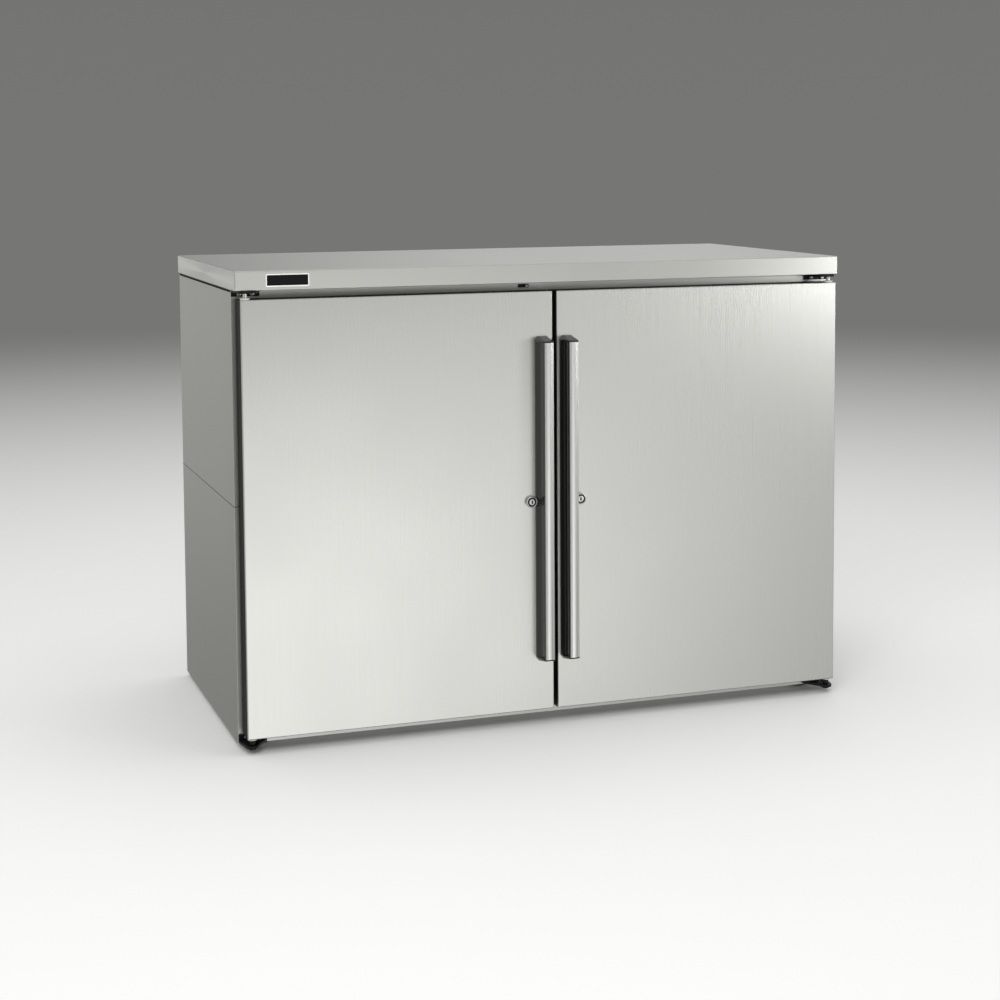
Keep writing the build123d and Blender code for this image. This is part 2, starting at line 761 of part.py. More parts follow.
def fan(origin, axis, radius, depth, reach):
    # blades twisted on a hub with a shaft behind it, built upright and then turned to face along axis
    with BuildPart() as blade:
        with BuildSketch(Plane.YZ.offset(fan_hub - 3)):
            with Locations((0, depth / 2)):
                Rectangle(fan_hub * 1.2, 2, rotation=fan_pitch)
        with BuildSketch(Plane.YZ.offset(radius)):
            with Locations((0, depth / 2)):
                Rectangle(radius * 0.62, 2, rotation=fan_pitch * 0.55)
        loft()
        rod((0, 0, 0), (0, 0, 1), radius, depth, Mode.INTERSECT)
    with BuildPart() as wheel:
        rod((0, 0, 0), (0, 0, 1), fan_hub, depth)
        rod((0, 0, 0), (0, 0, -1), shaft_radius, reach)
        for count in range(fan_blades):
            add(blade.part.rotate(Axis.Z, 360 / fan_blades * count))
    return wheel.part.moved(Plane(origin=origin, z_dir=axis).location)


def motor(origin, axis, leg_radius, leg_length):
    # a round motor behind origin, on arms that end in legs along the axis
    plane = Plane(origin=origin, z_dir=axis)
    with BuildPart() as body:
        with BuildSketch(plane):
            Circle(motor_radius)
        extrude(amount=-motor_length)
        fillet(body.edges().filter_by(GeomType.CIRCLE), 3)
        with BuildSketch(plane.offset(-motor_arm_sheet - 3)):
            Rectangle(2 * leg_radius, motor_arm, rotation=45)
            Rectangle(2 * leg_radius, motor_arm, rotation=-45)
        extrude(amount=motor_arm_sheet)
        with BuildSketch(plane.offset(-motor_arm_sheet - 3)):
            with PolarLocations(leg_radius - motor_arm_sheet / 2, 4, start_angle=45):
                Rectangle(motor_arm_sheet, motor_arm)
        extrude(amount=leg_length + motor_arm_sheet + 3)
        with BuildSketch(plane):
            Circle(shaft_radius + shaft_fit)
        extrude(amount=-shaft_length, mode=Mode.SUBTRACT)
    return body.part


def air_movers():
    evaporator_origin = (0, housing_front_y + evaporator_sheet + fan_depth + 6, evaporator_middle)
    evaporator_motor_y = evaporator_origin[1] + 2
    save(fan(evaporator_origin, (0, -1, 0), evaporator_fan_radius, fan_depth, shaft_length - 6),
         "evaporator_fan")
    hub_gap = 2.0
    ring_x = condenser_x - condenser_thickness / 2
    condenser_origin = (ring_x - shroud_depth, machine_middle_y, condenser_middle())
    save(fan(condenser_origin, (1, 0, 0), fan_radius, fan_depth, shaft_length - 6), "condenser_fan")
    small = motor((0, evaporator_motor_y, evaporator_middle), (0, -1, 0), evaporator_fan_radius + fan_tip_gap + 8,
                  evaporator_motor_y - housing_front_y - evaporator_sheet)
    large_x = condenser_origin[0] - hub_gap
    large = motor((large_x, machine_middle_y, condenser_middle()), (1, 0, 0), fan_radius + fan_tip_gap + 8,
                  hub_gap)
    save(group([small, large]), "fan_motors")


def condenser_middle():
    return base_top + condenser_lift + condenser_height / 2


def condenser():
    x = span(condenser_x, condenser_thickness)
    y = span(machine_middle_y, condenser_width)
    z = span(condenser_middle(), condenser_height)
    tube_rows = 5
    pitch = (condenser_width - 4 * condenser_margin) / (condenser_fins - 1)
    with BuildPart() as coil:
        for count in range(condenser_fins):
            middle = y[0] + 2 * condenser_margin + count * pitch
            block((x[0] + 2, x[1] - 2), span(middle, fin_sheet), (z[0] + 4, z[1] - 4))
        for edge in y:
            inner = edge + (condenser_margin if edge == y[0] else -condenser_margin)
            block(x, span(inner, 2 * fin_sheet), (base_top, z[1]))
        with BuildSketch(Plane.XZ.offset(-y[0])):
            with Locations((condenser_x, condenser_middle())):
                with GridLocations(1, condenser_height / tube_rows, 1, tube_rows):
                    Circle(coil_tube)
        extrude(amount=-condenser_width)
        for edge, lift in ((y[0], 0), (y[1], 1)):
            for row in range(2):
                low = z[0] + condenser_height / tube_rows * (0.5 + 2 * row + lift)
                block(span(condenser_x, 2 * coil_tube), span(edge, 2 * coil_tube),
                      (low - coil_tube, low + condenser_height / tube_rows + coil_tube))
    save(coil.part, "condenser_coil")
    ring = fan_radius + fan_tip_gap
    face = x[0] - shroud_sheet
    with BuildPart() as shroud:
        block((x[0] - shroud_sheet, x[0]), y, z)
        rod((face - shroud_depth + shroud_sheet, machine_middle_y, condenser_middle()), (1, 0, 0),
            ring + shroud_sheet, shroud_depth)
        rod((face - shroud_depth, machine_middle_y, condenser_middle()), (1, 0, 0), ring,
            shroud_depth + 2 * shroud_sheet, Mode.SUBTRACT)
        ear_x = face - shroud_depth + shroud_sheet
        with BuildSketch(Plane.YZ.offset(ear_x)):
            with Locations((machine_middle_y, condenser_middle())):
                Circle(ring + 12)
                Circle(ring, mode=Mode.SUBTRACT)
        extrude(amount=shroud_sheet)
    save(shroud.part, "fan_shroud")


def compressor_bolts():
    reach = compressor_foot_reach - mount_radius - 3
    return [(compressor_x + a * reach, machine_middle_y + b * reach) for a in (-1, 1) for b in (-1, 1)]


def compressor():
    low = base_top + mount_height
    up = (0, 0, 1)
    middle = (compressor_x, machine_middle_y)
    shell_low = low + compressor_lift
    with BuildPart() as shell:
        rod((*middle, shell_low), up, compressor_radius, compressor_top - shell_low)
        fillet(shell.edges().group_by(Axis.Z)[-1], compressor_dome)
        fillet(shell.edges().group_by(Axis.Z)[0], compressor_base)
        rod((*middle, low + compressor_height / 2), up, compressor_radius + compressor_seam,
            compressor_seam)
        rod((*middle, low), up, compressor_radius * 0.6, compressor_lift)
        with BuildSketch(Plane.XY.offset(low)):
            with Locations(middle):
                RectangleRounded(2 * compressor_foot_reach, 2 * compressor_foot_reach, mount_radius)
            with Locations(*compressor_bolts()):
                Circle(mount_bolt + screw_fit, mode=Mode.SUBTRACT)
        extrude(amount=compressor_foot)
        for x, y in (suction_stub, discharge_stub):
            rod((middle[0] + x, middle[1] + y, compressor_top), up, stub_radius, stub_height)
    save(shell.part, "compressor")
    mounts = []
    for place in compressor_bolts():
        with BuildPart() as grommet:
            rod((*place, base_top), (0, 0, 1), mount_radius, mount_height)
            chamfer(grommet.edges().group_by(Axis.Z)[-1], 2.5)
            rod((*place, base_top), (0, 0, 1), mount_bolt + screw_fit, mount_height, Mode.SUBTRACT)
        mounts.append(grommet.part)
    save(group(mounts), "compressor_mounts")


def refrigerant_lines():
    # suction line, liquid line with its drier, the run back to the condenser, and the discharge line
    start_y = evaporator_coil_y + coil_tube
    return_y = machine_middle_y + condenser_width / 2 + header_gap
    return_height = condenser_middle() - condenser_height * row_spread
    front_y = machine_middle_y - condenser_width / 2
    stub_top = compressor_top + stub_height
    suction_x = compressor_x + suction_stub[0]
    suction_y = machine_middle_y + suction_stub[1]
    discharge_x = compressor_x + discharge_stub[0]
    top_row = condenser_middle() + condenser_height * row_spread
    suction = tube([(header_x, start_y, header_line_z), (header_x, lines_y, header_line_z),
                    (header_x, lines_y, suction_height), (header_x, suction_y, suction_height),
                    (suction_x, suction_y, suction_height), (suction_x, suction_y, stub_top)],
                   line_radius, 10)
    liquid = tube([(-header_x, start_y, header_line_z), (-header_x, lines_y, header_line_z),
                   (-header_x, lines_y, liquid_height), (drier_x, lines_y, liquid_height),
                   (drier_x, lines_y, drier_top)], thin_line_radius, 8)
    with BuildPart() as drier:
        rod((drier_x, lines_y, drier_top - drier_length), (0, 0, 1), drier_radius, drier_length)
        fillet(drier.edges().filter_by(GeomType.CIRCLE), 6)
    back_run = tube([(drier_x, lines_y, drier_top - drier_length), (drier_x, lines_y, return_height),
                     (drier_x, return_y, return_height), (condenser_x, return_y, return_height),
                     (condenser_x, return_y - header_gap, return_height)], thin_line_radius, 7)
    discharge = tube([(discharge_x, machine_middle_y, stub_top),
                      (discharge_x, machine_middle_y, discharge_height),
                      (condenser_x, machine_middle_y, discharge_height),
                      (condenser_x, front_y - 9, discharge_height), (condenser_x, front_y - 9, top_row),
                      (condenser_x, front_y, top_row)], thin_line_radius, 7)
    save(group([suction, liquid, drier.part, back_run, discharge]), "refrigerant_lines")


def grille_screw_places():
    reach = cavity_x + side_wall / 2
    low = body_bottom + 3 * grille_margin + 4
    high = machine_top + grille_lap - 10
    return [(side * reach, z) for side in (-1, 1) for z in (low, (low + high) / 2, high)]


def grille_screw_holes(y, sheet):
    for x, z in grille_screw_places():
        rod((x, y, z), (0, 1, 0), screw_radius + screw_fit, sheet, Mode.SUBTRACT)


def rear_grille():
    reach = panel_x - back_flange - 1
    z = (body_bottom + grille_margin, machine_top + grille_lap)
    with BuildPart() as grille:
        block(span(0, 2 * reach), (back_sheet_y, body_back_y), z)
        grille_screw_holes(back_sheet_y, panel_sheet)
        with BuildSketch(Plane.XZ.offset(-body_back_y)):
            with Locations((-inlet_size[0] / 2, sum(z) / 2 - grille_slots_drop)):
                with GridLocations(grille_column_pitch, grille_row_pitch, grille_columns, grille_rows):
                    SlotOverall(*grille_slot)
            with Locations((inlet_x, inlet_height)):
                Rectangle(*inlet_size)
        extrude(amount=panel_sheet, mode=Mode.SUBTRACT)
    save(grille.part, "rear_grille")


def power_inlet():
    with BuildPart() as inlet:
        block(span(inlet_x, inlet_size[0]), (body_back_y - inlet_depth, body_back_y),
              span(inlet_height, inlet_size[1]))
        block(span(inlet_x, inlet_size[0] + 2 * inlet_rim), (body_back_y, body_back_y + inlet_rim_thickness),
              span(inlet_height, inlet_size[1] + 2 * inlet_rim))
        fillet(inlet.edges().filter_by(Axis.Y), 2)
        block(span(inlet_x, inlet_size[0] * 0.5), (body_back_y + inlet_rim_thickness - inlet_recess,
              body_back_y + inlet_rim_thickness), span(inlet_height, inlet_size[1] * 0.62), Mode.SUBTRACT)
        for step in (-7, 0, 7):
            block(span(inlet_x + step, 2), (body_back_y + inlet_rim_thickness - inlet_recess,
                  body_back_y - 4), span(inlet_height, 4))
    save(inlet.part, "power_inlet")


def glides():
    pads = []
    for x in (-1, 1):
        for y in (body_front_y + glide_inset_y, body_back_y - glide_inset_y):
            with BuildPart() as pad:
                with BuildSketch():
                    with Locations((x * (panel_x - glide_inset_x), y)):
                        Circle(glide_radius)
                extrude(amount=floor_clearance)
                chamfer(pad.edges().group_by(Axis.Z)[0], 1)
                chamfer(pad.edges().group_by(Axis.Z)[-1], glide_radius - glide_top_radius,
                        floor_clearance / 3)
            pads.append(pad.part)
    save(group(pads), "floor_glides")


def bracket(side, plate, flange, nose_width):
    # a plate that narrows towards the pin, with a flange screwed to the cabinet's face
    outer = side * bracket_outer_x
    inner = side * (bracket_outer_x - bracket_width)
    back = body_front_y
    nose_reach = pin_x + bracket_nose - nose_width
    with BuildPart() as piece:
        with BuildSketch(Plane.XY.offset(plate[0])):
            Polygon((outer, back), (outer, back - bracket_flange - 4),
                    (side * (pin_x + bracket_nose), pin_y), (side * nose_reach, pin_y),
                    (inner, back - bracket_flange - 4), (inner, back), align=None)
            with Locations((side * pin_x, pin_y), (side * (nose_reach + bracket_nose), pin_y)):
                Circle(bracket_nose)
            with Locations((side * (pin_x + nose_reach + bracket_nose) / 2, pin_y - bracket_nose / 2)):
                Rectangle(max(nose_width - 2 * bracket_nose, pin_radius), bracket_nose)
            with Locations((side * pin_x, pin_y)):
                Circle(pin_radius + pin_fit, mode=Mode.SUBTRACT)
        extrude(amount=plate[1] - plate[0])
        block((outer, inner), (back - bracket_flange, back), flange)
        for x in bracket_screw_places(side):
            rod((x, back, flange_middle(plate, flange)), (0, -1, 0), screw_radius + screw_fit,
                bracket_flange, Mode.SUBTRACT)
    return piece.part


def flange_middle(plate, flange):
    return (flange[0] + plate[0]) / 2 if flange[0] < plate[0] else (plate[1] + flange[1]) / 2


def top_plate():
    high = body_top - bracket_drop
    return (high - bracket_plate, high)


def bottom_plate():
    return (bracket_plate_height, bracket_plate_height + bracket_bottom_plate)


def hinges():
    top_low, top_high = top_plate()
    low, high = bottom_plate()
    brackets = []
    pins = []
    for name, side in sides:
        brackets.append(bracket(side, (top_low, top_high), (top_high - bracket_top_flange, top_high),
                                bracket_top_nose))
        brackets.append(bracket(side, (low, high), (low, low + bracket_bottom_flange), 2 * bracket_nose))
        place = (side * pin_x, pin_y)
        with BuildPart() as top_pin:
            rod((*place, top_high), (0, 0, -1), pin_radius, top_high - door_top + pin_engagement)
            chamfer(top_pin.edges().group_by(Axis.Z)[0], 0.8)
        with BuildPart() as bottom_pin:
            rod((*place, low - pin_head), (0, 0, 1), pin_head_radius, pin_head)
            rod((*place, low), (0, 0, 1), pin_radius, door_bottom - low + pin_engagement)
            rod((*place, high), (0, 0, 1), collar_radius, door_bottom - bush_flange - collar_clearance - high)
            chamfer(bottom_pin.edges().group_by(Axis.Z)[-1], 0.8)
            chamfer(bottom_pin.edges().group_by(Axis.Z)[0], 0.8)
        pins += [top_pin.part, bottom_pin.part]
    save(group(brackets), "hinge_brackets")
    save(group(pins), "hinge_pins")


def screw(place, facing, radius, head_radius, shank):
    with BuildPart() as piece:
        rod(place, facing, head_radius, screw_head)
        outer = piece.faces().filter_by(GeomType.PLANE).sort_by(Axis((0, 0, 0), facing))[-1]
        chamfer(outer.edges(), screw_head / 2.5)
        rod(place, tuple(-value for value in facing), radius, shank)
    return piece.part


def screws():
    pieces = []
    for name, side in sides:
        for x in bracket_screw_places(side):
            for height in (door_top_bracket_middle(), door_bottom_bracket_middle()):
                pieces.append(screw((x, body_front_y - bracket_flange, height), (0, -1, 0), screw_radius,
                                    screw_head_radius, bracket_flange + panel_sheet))
    for x, z in grille_screw_places():
        pieces.append(screw((x, body_back_y, z), (0, 1, 0), screw_radius, screw_head_radius,
                            2 * panel_sheet))
    foot_top = base_top + mount_height + compressor_foot
    for place in compressor_bolts():
        pieces.append(screw((*place, foot_top), (0, 0, 1), mount_bolt, 2 * mount_bolt,
                            foot_top - body_bottom))
    save(group(pieces), "cabinet_screws")


def light_switch():
    x = (switch_left, switch_left + switch_width)
    middle = body_top - switch_drop
    y = (body_front_y - switch_depth, body_front_y)
    slot_x = (x[1] - 2 - switch_slot_width, x[1] - 2)
    with BuildPart() as body:
        block(x, y, span(middle, switch_height))
        fillet(body.edges().filter_by(Axis.Y), 1)
        block(slot_x, (y[0], y[0] + switch_slot_depth), span(middle, switch_slot_height), Mode.SUBTRACT)
    save(body.part, "light_switch_body")
    tab_x = (slot_x[1] - switch_clearance - (switch_slot_width - switch_travel - 2 * switch_clearance),
             slot_x[1] - switch_clearance)
    with BuildPart() as slider:
        block(tab_x, (y[0] - switch_tab_height, y[0] + switch_slot_depth - switch_clearance),
              span(middle, switch_slot_height - 2 * switch_fit))
        fillet(slider.edges().filter_by(Axis.Y), 0.4)
    save(slider.part, "light_switch_slider")


def thermostat():
    x = (cavity_x - control_size[0], cavity_x)
    with BuildPart() as box:
        block(x, span(control_y, control_size[1]), span(control_height, control_size[2]))
        fillet(box.edges().filter_by(Axis.X) + box.edges().group_by(Axis.X)[0], 3)
        rod((x[0], control_y, control_height), (1, 0, 0), knob_spindle + shaft_fit, knob_spindle_length + 1,
            Mode.SUBTRACT)
    save(box.part, "temperature_control")
    with BuildPart() as knob:
        rod((x[0] - knob_clearance, control_y, control_height), (-1, 0, 0), knob_radius, knob_height * 0.4)
        block((x[0] - knob_clearance - knob_height, x[0] - knob_clearance),
              span(control_y, 7), span(control_height, 2 * knob_radius - 4))
        fillet(knob.edges().filter_by(Axis.X), 1.5)
        rod((x[0] - knob_clearance, control_y, control_height), (1, 0, 0), knob_spindle,
            knob_spindle_length + knob_clearance)
    save(knob.part, "temperature_knob")
    with BuildPart() as light:
        block(span(0, light_size[0]), span(body_front_y + light_setback + light_size[1] / 2, light_size[1]),
              (cavity_top - light_size[2], cavity_top))
        fillet(light.edges().filter_by(Axis.X).group_by(Axis.Z)[0], 7)
    save(light.part, "interior_light")


def ring_between(outer, inner, y):
    # a rectangular ring in the plane of the door; outer and inner are (x, z) ranges
    block(outer[0], y, outer[1])
    block(inner[0], y, inner[1], Mode.SUBTRACT)


def inset(side, sides_and_top, bottom):
    # (x, z) ranges of a door's outline drawn in by two margins
    x = out(side, door_inner_x + sides_and_top, door_outer_x - sides_and_top)
    return (x, (door_bottom + bottom, door_top - sides_and_top))


def lock_hole(side, radius, y):
    rod((side * lock_offset, y[0], lock_height), (0, 1, 0), radius, y[1] - y[0], Mode.SUBTRACT)


def bush_holes(side, depth):
    for z, up in ((door_top, -1), (door_bottom, 1)):
        rod((side * pin_x, pin_y, z), (0, 0, up), bush_radius + bush_fit, depth, Mode.SUBTRACT)


def door_shell(name, side):
    front, back = door_face_y, door_back_y
    whole = inset(side, 0, 0)
    flange = 2 * flange_margin + gasket_width
    opening = inset(side, gasket_inset + flange - flange_margin, gasket_bottom_inset + flange - flange_margin)
    hollow = inset(side, edge_wall, edge_wall)
    back_y = (back - edge_wall, back)
    barrel_hole = lock_barrel + screw_fit
    with BuildPart() as skin:
        block(whole[0], (front, front + skin_return), whole[1])
        fillet(skin.faces().sort_by(Axis.Y)[0].edges(), skin_bend)
        hollow_x, hollow_z = inset(side, skin_sheet, skin_sheet)
        block(hollow_x, (front + skin_sheet, front + skin_return), hollow_z, Mode.SUBTRACT)
        lock_hole(side, barrel_hole, (front, front + skin_sheet))
    save(skin.part, f"{name}_door_skin")
    with BuildPart() as edge:
        ring_between(whole, hollow, (front + skin_return, back - edge_wall))
        block(whole[0], back_y, whole[1])
        block(opening[0], back_y, opening[1], Mode.SUBTRACT)
        bush_holes(side, edge_wall)
    save(edge.part, f"{name}_door_edge")
    with BuildPart() as foam:
        block(hollow[0], (front + skin_sheet, back - edge_wall), hollow[1])
        lock_hole(side, barrel_hole, (front, back))
        bush_holes(side, bush_depth)
    save(foam.part, f"{name}_door_foam")
    raised = inset(side, liner_raise_margin, liner_raise_margin)
    with BuildPart() as liner_sheet_part:
        block(opening[0], back_y, opening[1])
        with BuildSketch(Plane(origin=(0, back, 0), x_dir=(1, 0, 0), z_dir=(0, 1, 0))):
            with Locations((sum(raised[0]) / 2, -sum(raised[1]) / 2)):
                RectangleRounded(abs(raised[0][1] - raised[0][0]), raised[1][1] - raised[1][0],
                                 liner_raise_corner)
        extrude(amount=liner_raise, taper=30)
        lock_hole(side, barrel_hole, (back - edge_wall, back + liner_raise))
    save(liner_sheet_part.part, f"{name}_door_liner")


def door_gasket(name, side):
    # a bellows seal: foot, narrow neck and magnet head, in one ring
    back = door_back_y
    depth = gasket_gap - gasket_clearance
    spare = (gasket_width - gasket_neck_width) / 2
    levels = ((0, gasket_foot, 0), (gasket_foot, gasket_foot + gasket_neck, spare),
              (gasket_foot + gasket_neck, depth, 0))
    with BuildPart() as gasket:
        for low, high, narrow in levels:
            y = (back + low, back + high)
            outer = inset(side, gasket_inset + narrow, gasket_bottom_inset + narrow)
            inner = inset(side, gasket_inset + gasket_width - narrow,
                          gasket_bottom_inset + gasket_width - narrow)
            with BuildSketch(Plane(origin=(0, y[0], 0), x_dir=(1, 0, 0), z_dir=(0, 1, 0))):
                for (x, z), mode in ((outer, Mode.ADD), (inner, Mode.SUBTRACT)):
                    with Locations(((x[0] + x[1]) / 2, -(z[0] + z[1]) / 2)):
                        Rectangle(abs(x[1] - x[0]), z[1] - z[0], mode=mode)
            extrude(amount=high - low)
    save(gasket.part, f"{name}_door_gasket")


def handle_section(side, height):
    # foot, hollowed sides and a seat for the strip, seen from above at a height
    middle = side * handle_offset
    face = door_face_y
    seat = handle_projection - strip_depth
    with BuildSketch(Plane.XY.offset(height)) as section:
        with BuildLine():
            Line((middle - handle_base / 2, face), (middle + handle_base / 2, face))
            for turn in (-1, 1):
                foot = (middle + turn * handle_base / 2, face)
                ankle = (middle + turn * (handle_base / 2 - 1), face - handle_foot)
                waist = (middle + turn * handle_waist / 2, face - handle_waist_height)
                shoulder = (middle + turn * handle_front / 2, face - seat + 4)
                Line(foot, ankle)
                ThreePointArc(ankle, waist, shoulder)
                Line(shoulder, (middle + turn * handle_front / 2, face - seat))
            Line((middle - handle_front / 2, face - seat), (middle + handle_front / 2, face - seat))
        make_face()
    return section.sketch


def cap_outline(side, height, across, outwards):
    # the handle's outline at a height, scaled towards the middle of its foot
    half_base = handle_base / 2
    half_front = handle_front / 2 + handle_cap_margin
    seat = handle_projection - strip_depth
    crown = handle_projection - strip_crown
    shape = [(-half_base, 0), (half_base, 0), (half_front, seat), (half_front - 1.5, crown),
             (1.5 - half_front, crown), (-half_front, seat)]
    points = [(side * handle_offset + across * x, door_face_y - outwards * y) for x, y in shape]
    with BuildSketch(Plane.XY.offset(height)) as outline:
        Polygon(*points, align=None)
    return outline.sketch


def door_handle(name, side):
    top = door_top - handle_drop
    bottom = top - handle_length
    middle = side * handle_offset
    seat_y = door_face_y - handle_projection + strip_depth
    grip_length = handle_length - 2 * handle_cap
    with BuildPart() as grip:
        extrude(handle_section(side, bottom + handle_cap), amount=grip_length)
        block(span(middle, strip_width), (seat_y, seat_y + strip_seat), (bottom, top), Mode.SUBTRACT)
        lock_relief_cut(side)
    caps = []
    for end, inwards in ((bottom, 1), (top, -1)):
        slope_start = end + inwards * (handle_cap - handle_cap_edge)
        whole = cap_outline(side, slope_start, 1, 1)
        with BuildPart() as cap:
            extrude(whole, amount=inwards * handle_cap_edge)
            loft([whole.face(), cap_outline(side, end, *handle_cap_slope).face()], ruled=True)
        caps.append(cap.part)
    save(group([grip.part] + caps), f"{name}_handle_grip")
    edge_y = door_face_y - handle_projection + strip_crown
    back_y = seat_y + strip_seat
    half = strip_width / 2
    with BuildPart() as strip:
        with BuildSketch(Plane.XY.offset(bottom + handle_cap)):
            with BuildLine():
                Polyline((middle - half, edge_y), (middle - half, back_y), (middle + half, back_y),
                         (middle + half, edge_y))
                ThreePointArc((middle + half, edge_y), (middle, door_face_y - handle_projection),
                              (middle - half, edge_y))
            make_face()
        extrude(amount=grip_length)
    save(strip.part, f"{name}_handle_strip")


def lock_relief_cut(side):
    rod((side * lock_offset, door_face_y, lock_height), (0, -1, 0), lock_rim + lock_relief,
        lock_rim_height + 1, Mode.SUBTRACT)


def door_lock(name, side):
    place_x = side * lock_offset
    tail_y = door_back_y + barrel_tail
    cam_y = body_front_y + cam_gap
    with BuildPart() as barrel:
        rod((place_x, door_face_y - lock_rim_height, lock_height), (0, 1, 0), lock_rim, lock_rim_height)
        chamfer(barrel.edges().group_by(Axis.Y)[0], lock_rim_bevel)
        rod((place_x, door_face_y, lock_height), (0, 1, 0), lock_barrel, tail_y - door_face_y)
        rod((place_x, door_face_y - lock_rim_height, lock_height), (0, 1, 0), lock_plug + lock_fit,
            tail_y - door_face_y + lock_rim_height, Mode.SUBTRACT)
    save(barrel.part, f"{name}_lock_barrel")
    plug_front = door_face_y - lock_rim_height - 0.8
    with BuildPart() as plug:
        rod((place_x, plug_front, lock_height), (0, 1, 0), lock_plug, cam_y - plug_front)
        chamfer(plug.edges().group_by(Axis.Y)[0], 0.6)
        block(span(place_x, key_slot_width), (plug_front, plug_front + key_slot_depth),
              span(lock_height, key_slot_length), Mode.SUBTRACT)
    with BuildPart() as cam:
        with BuildSketch(Plane(origin=(place_x, cam_y, lock_height), x_dir=(1, 0, 0), z_dir=(0, 1, 0))):
            Circle(cam_width / 2 + 1)
            with Locations((0, (cam_reach - cam_width / 2) / 2)):
                Rectangle(cam_width, cam_reach - cam_width / 2)
            with Locations((0, cam_reach - cam_width / 2)):
                Circle(cam_width / 2)
        extrude(amount=cam_thickness)
    save(group([plug.part, cam.part]), f"{name}_lock_plug")


def door_bushes(name, side):
    pieces = []
    for z, up in ((door_top, -1), (door_bottom, 1)):
        with BuildPart() as bush:
            rod((side * pin_x, pin_y, z), (0, 0, up), bush_radius, bush_depth)
            rod((side * pin_x, pin_y, z), (0, 0, -up), bush_flange_radius, bush_flange)
            rod((side * pin_x, pin_y, z - up * bush_flange), (0, 0, up), pin_radius + pin_fit,
                bush_flange + pin_engagement + 2, Mode.SUBTRACT)
        pieces.append(bush.part)
    save(group(pieces), f"{name}_hinge_bushes")


def main():
    os.makedirs("parts", exist_ok=True)
    counter()
    name_plate()
    side_panels()
    front_frame()
    mullion()
    back_and_base()
    insulation()
    liner()
    shelves()
    shelf_supports()
    evaporator()
    drain()
    air_movers()
    condenser()
    compressor()
    refrigerant_lines()
    rear_grille()
    power_inlet()
    glides()
    hinges()
    screws()
    light_switch()
    thermostat()
    for name, side in sides:
        door_shell(name, side)
        door_gasket(name, side)
        door_handle(name, side)
        door_lock(name, side)
        door_bushes(name, side)


main()
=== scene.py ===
import json
from math import cos, pi, radians, sin

import bmesh
import bpy
import numpy as np
from mathutils import Euler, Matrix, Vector


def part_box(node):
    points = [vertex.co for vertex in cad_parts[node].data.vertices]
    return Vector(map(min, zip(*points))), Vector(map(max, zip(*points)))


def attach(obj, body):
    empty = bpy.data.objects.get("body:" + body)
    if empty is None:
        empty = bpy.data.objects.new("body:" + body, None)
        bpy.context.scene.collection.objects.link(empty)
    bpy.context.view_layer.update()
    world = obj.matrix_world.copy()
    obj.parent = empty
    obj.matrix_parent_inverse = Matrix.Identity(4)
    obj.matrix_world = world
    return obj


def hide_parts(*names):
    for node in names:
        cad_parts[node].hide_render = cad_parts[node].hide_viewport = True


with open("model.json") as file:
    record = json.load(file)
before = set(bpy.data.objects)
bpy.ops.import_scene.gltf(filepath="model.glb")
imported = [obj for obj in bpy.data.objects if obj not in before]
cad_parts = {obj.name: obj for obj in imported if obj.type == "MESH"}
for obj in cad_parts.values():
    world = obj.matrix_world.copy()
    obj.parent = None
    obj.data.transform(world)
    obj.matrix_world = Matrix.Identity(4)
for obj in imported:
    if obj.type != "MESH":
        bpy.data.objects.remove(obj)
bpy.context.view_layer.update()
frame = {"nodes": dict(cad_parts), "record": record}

nodes = frame["nodes"]
print("frame loaded:", len(nodes), "nodes")

mm = 0.001    # shapes are worked out in millimetres, and Blender's objects are in metres


# colours and shader nodes

def srgb(code):
    # "#rrggbb" to the linear colour that Blender's sockets take
    parts = np.array([int(code[i:i + 2], 16) for i in (1, 3, 5)]) / 255.0
    linear = np.where(parts <= 0.04045, parts / 12.92, ((parts + 0.055) / 1.055) ** 2.4)
    return (*linear.tolist(), 1.0)


def addNode(tree, kind, settings=None, inputs=None):
    # one node: settings are its own properties, inputs its socket values or the sockets
    # that feed them
    node = tree.nodes.new(kind)
    for key, value in (settings or {}).items():
        setattr(node, key, value)
    for key, value in (inputs or {}).items():
        if isinstance(value, bpy.types.NodeSocket):
            tree.links.new(value, node.inputs[key])
        else:
            node.inputs[key].default_value = value
    return node


def startMaterial(name, colour, roughness, metallic=0.0, **more):
    # a Principled shader with its constants set on its own sockets
    material = bpy.data.materials.new(name)
    material.use_nodes = True
    tree = material.node_tree
    shader = tree.nodes["Principled BSDF"]
    shader.inputs["Base Color"].default_value = srgb(colour)
    shader.inputs["Roughness"].default_value = roughness
    shader.inputs["Metallic"].default_value = metallic
    for key, value in more.items():
        shader.inputs[key].default_value = value
    return material, tree, shader


def stretchedNoise(tree, size, detail=2.0, shift=0.0):
    # noise on Object coordinates whose grains are size = (x, y, z) in millimetres;
    # shift moves the pattern, so that two noises on one material differ
    place = addNode(tree, "ShaderNodeTexCoord")
    scale = addNode(tree, "ShaderNodeMapping", {"vector_type": "POINT"}, {
        "Vector": place.outputs["Object"], "Location": (shift, shift * 0.7, -shift),
        "Scale": tuple(1.0 / (v * mm) for v in size)})
    return addNode(tree, "ShaderNodeTexNoise", {"noise_dimensions": "3D"}, {
        "Vector": scale.outputs["Vector"], "Scale": 1.0, "Detail": detail, "Roughness": 0.55})


noiseRange = (0.25, 0.75)    # nearly all of a noise lies between these


def spread(tree, value, low, high):
    # stretches noiseRange onto low to high, and holds what lies outside it at the ends
    return addNode(tree, "ShaderNodeMapRange", {"clamp": True}, {
        "Value": value, "From Min": noiseRange[0], "From Max": noiseRange[1],
        "To Min": low, "To Max": high}).outputs["Result"]


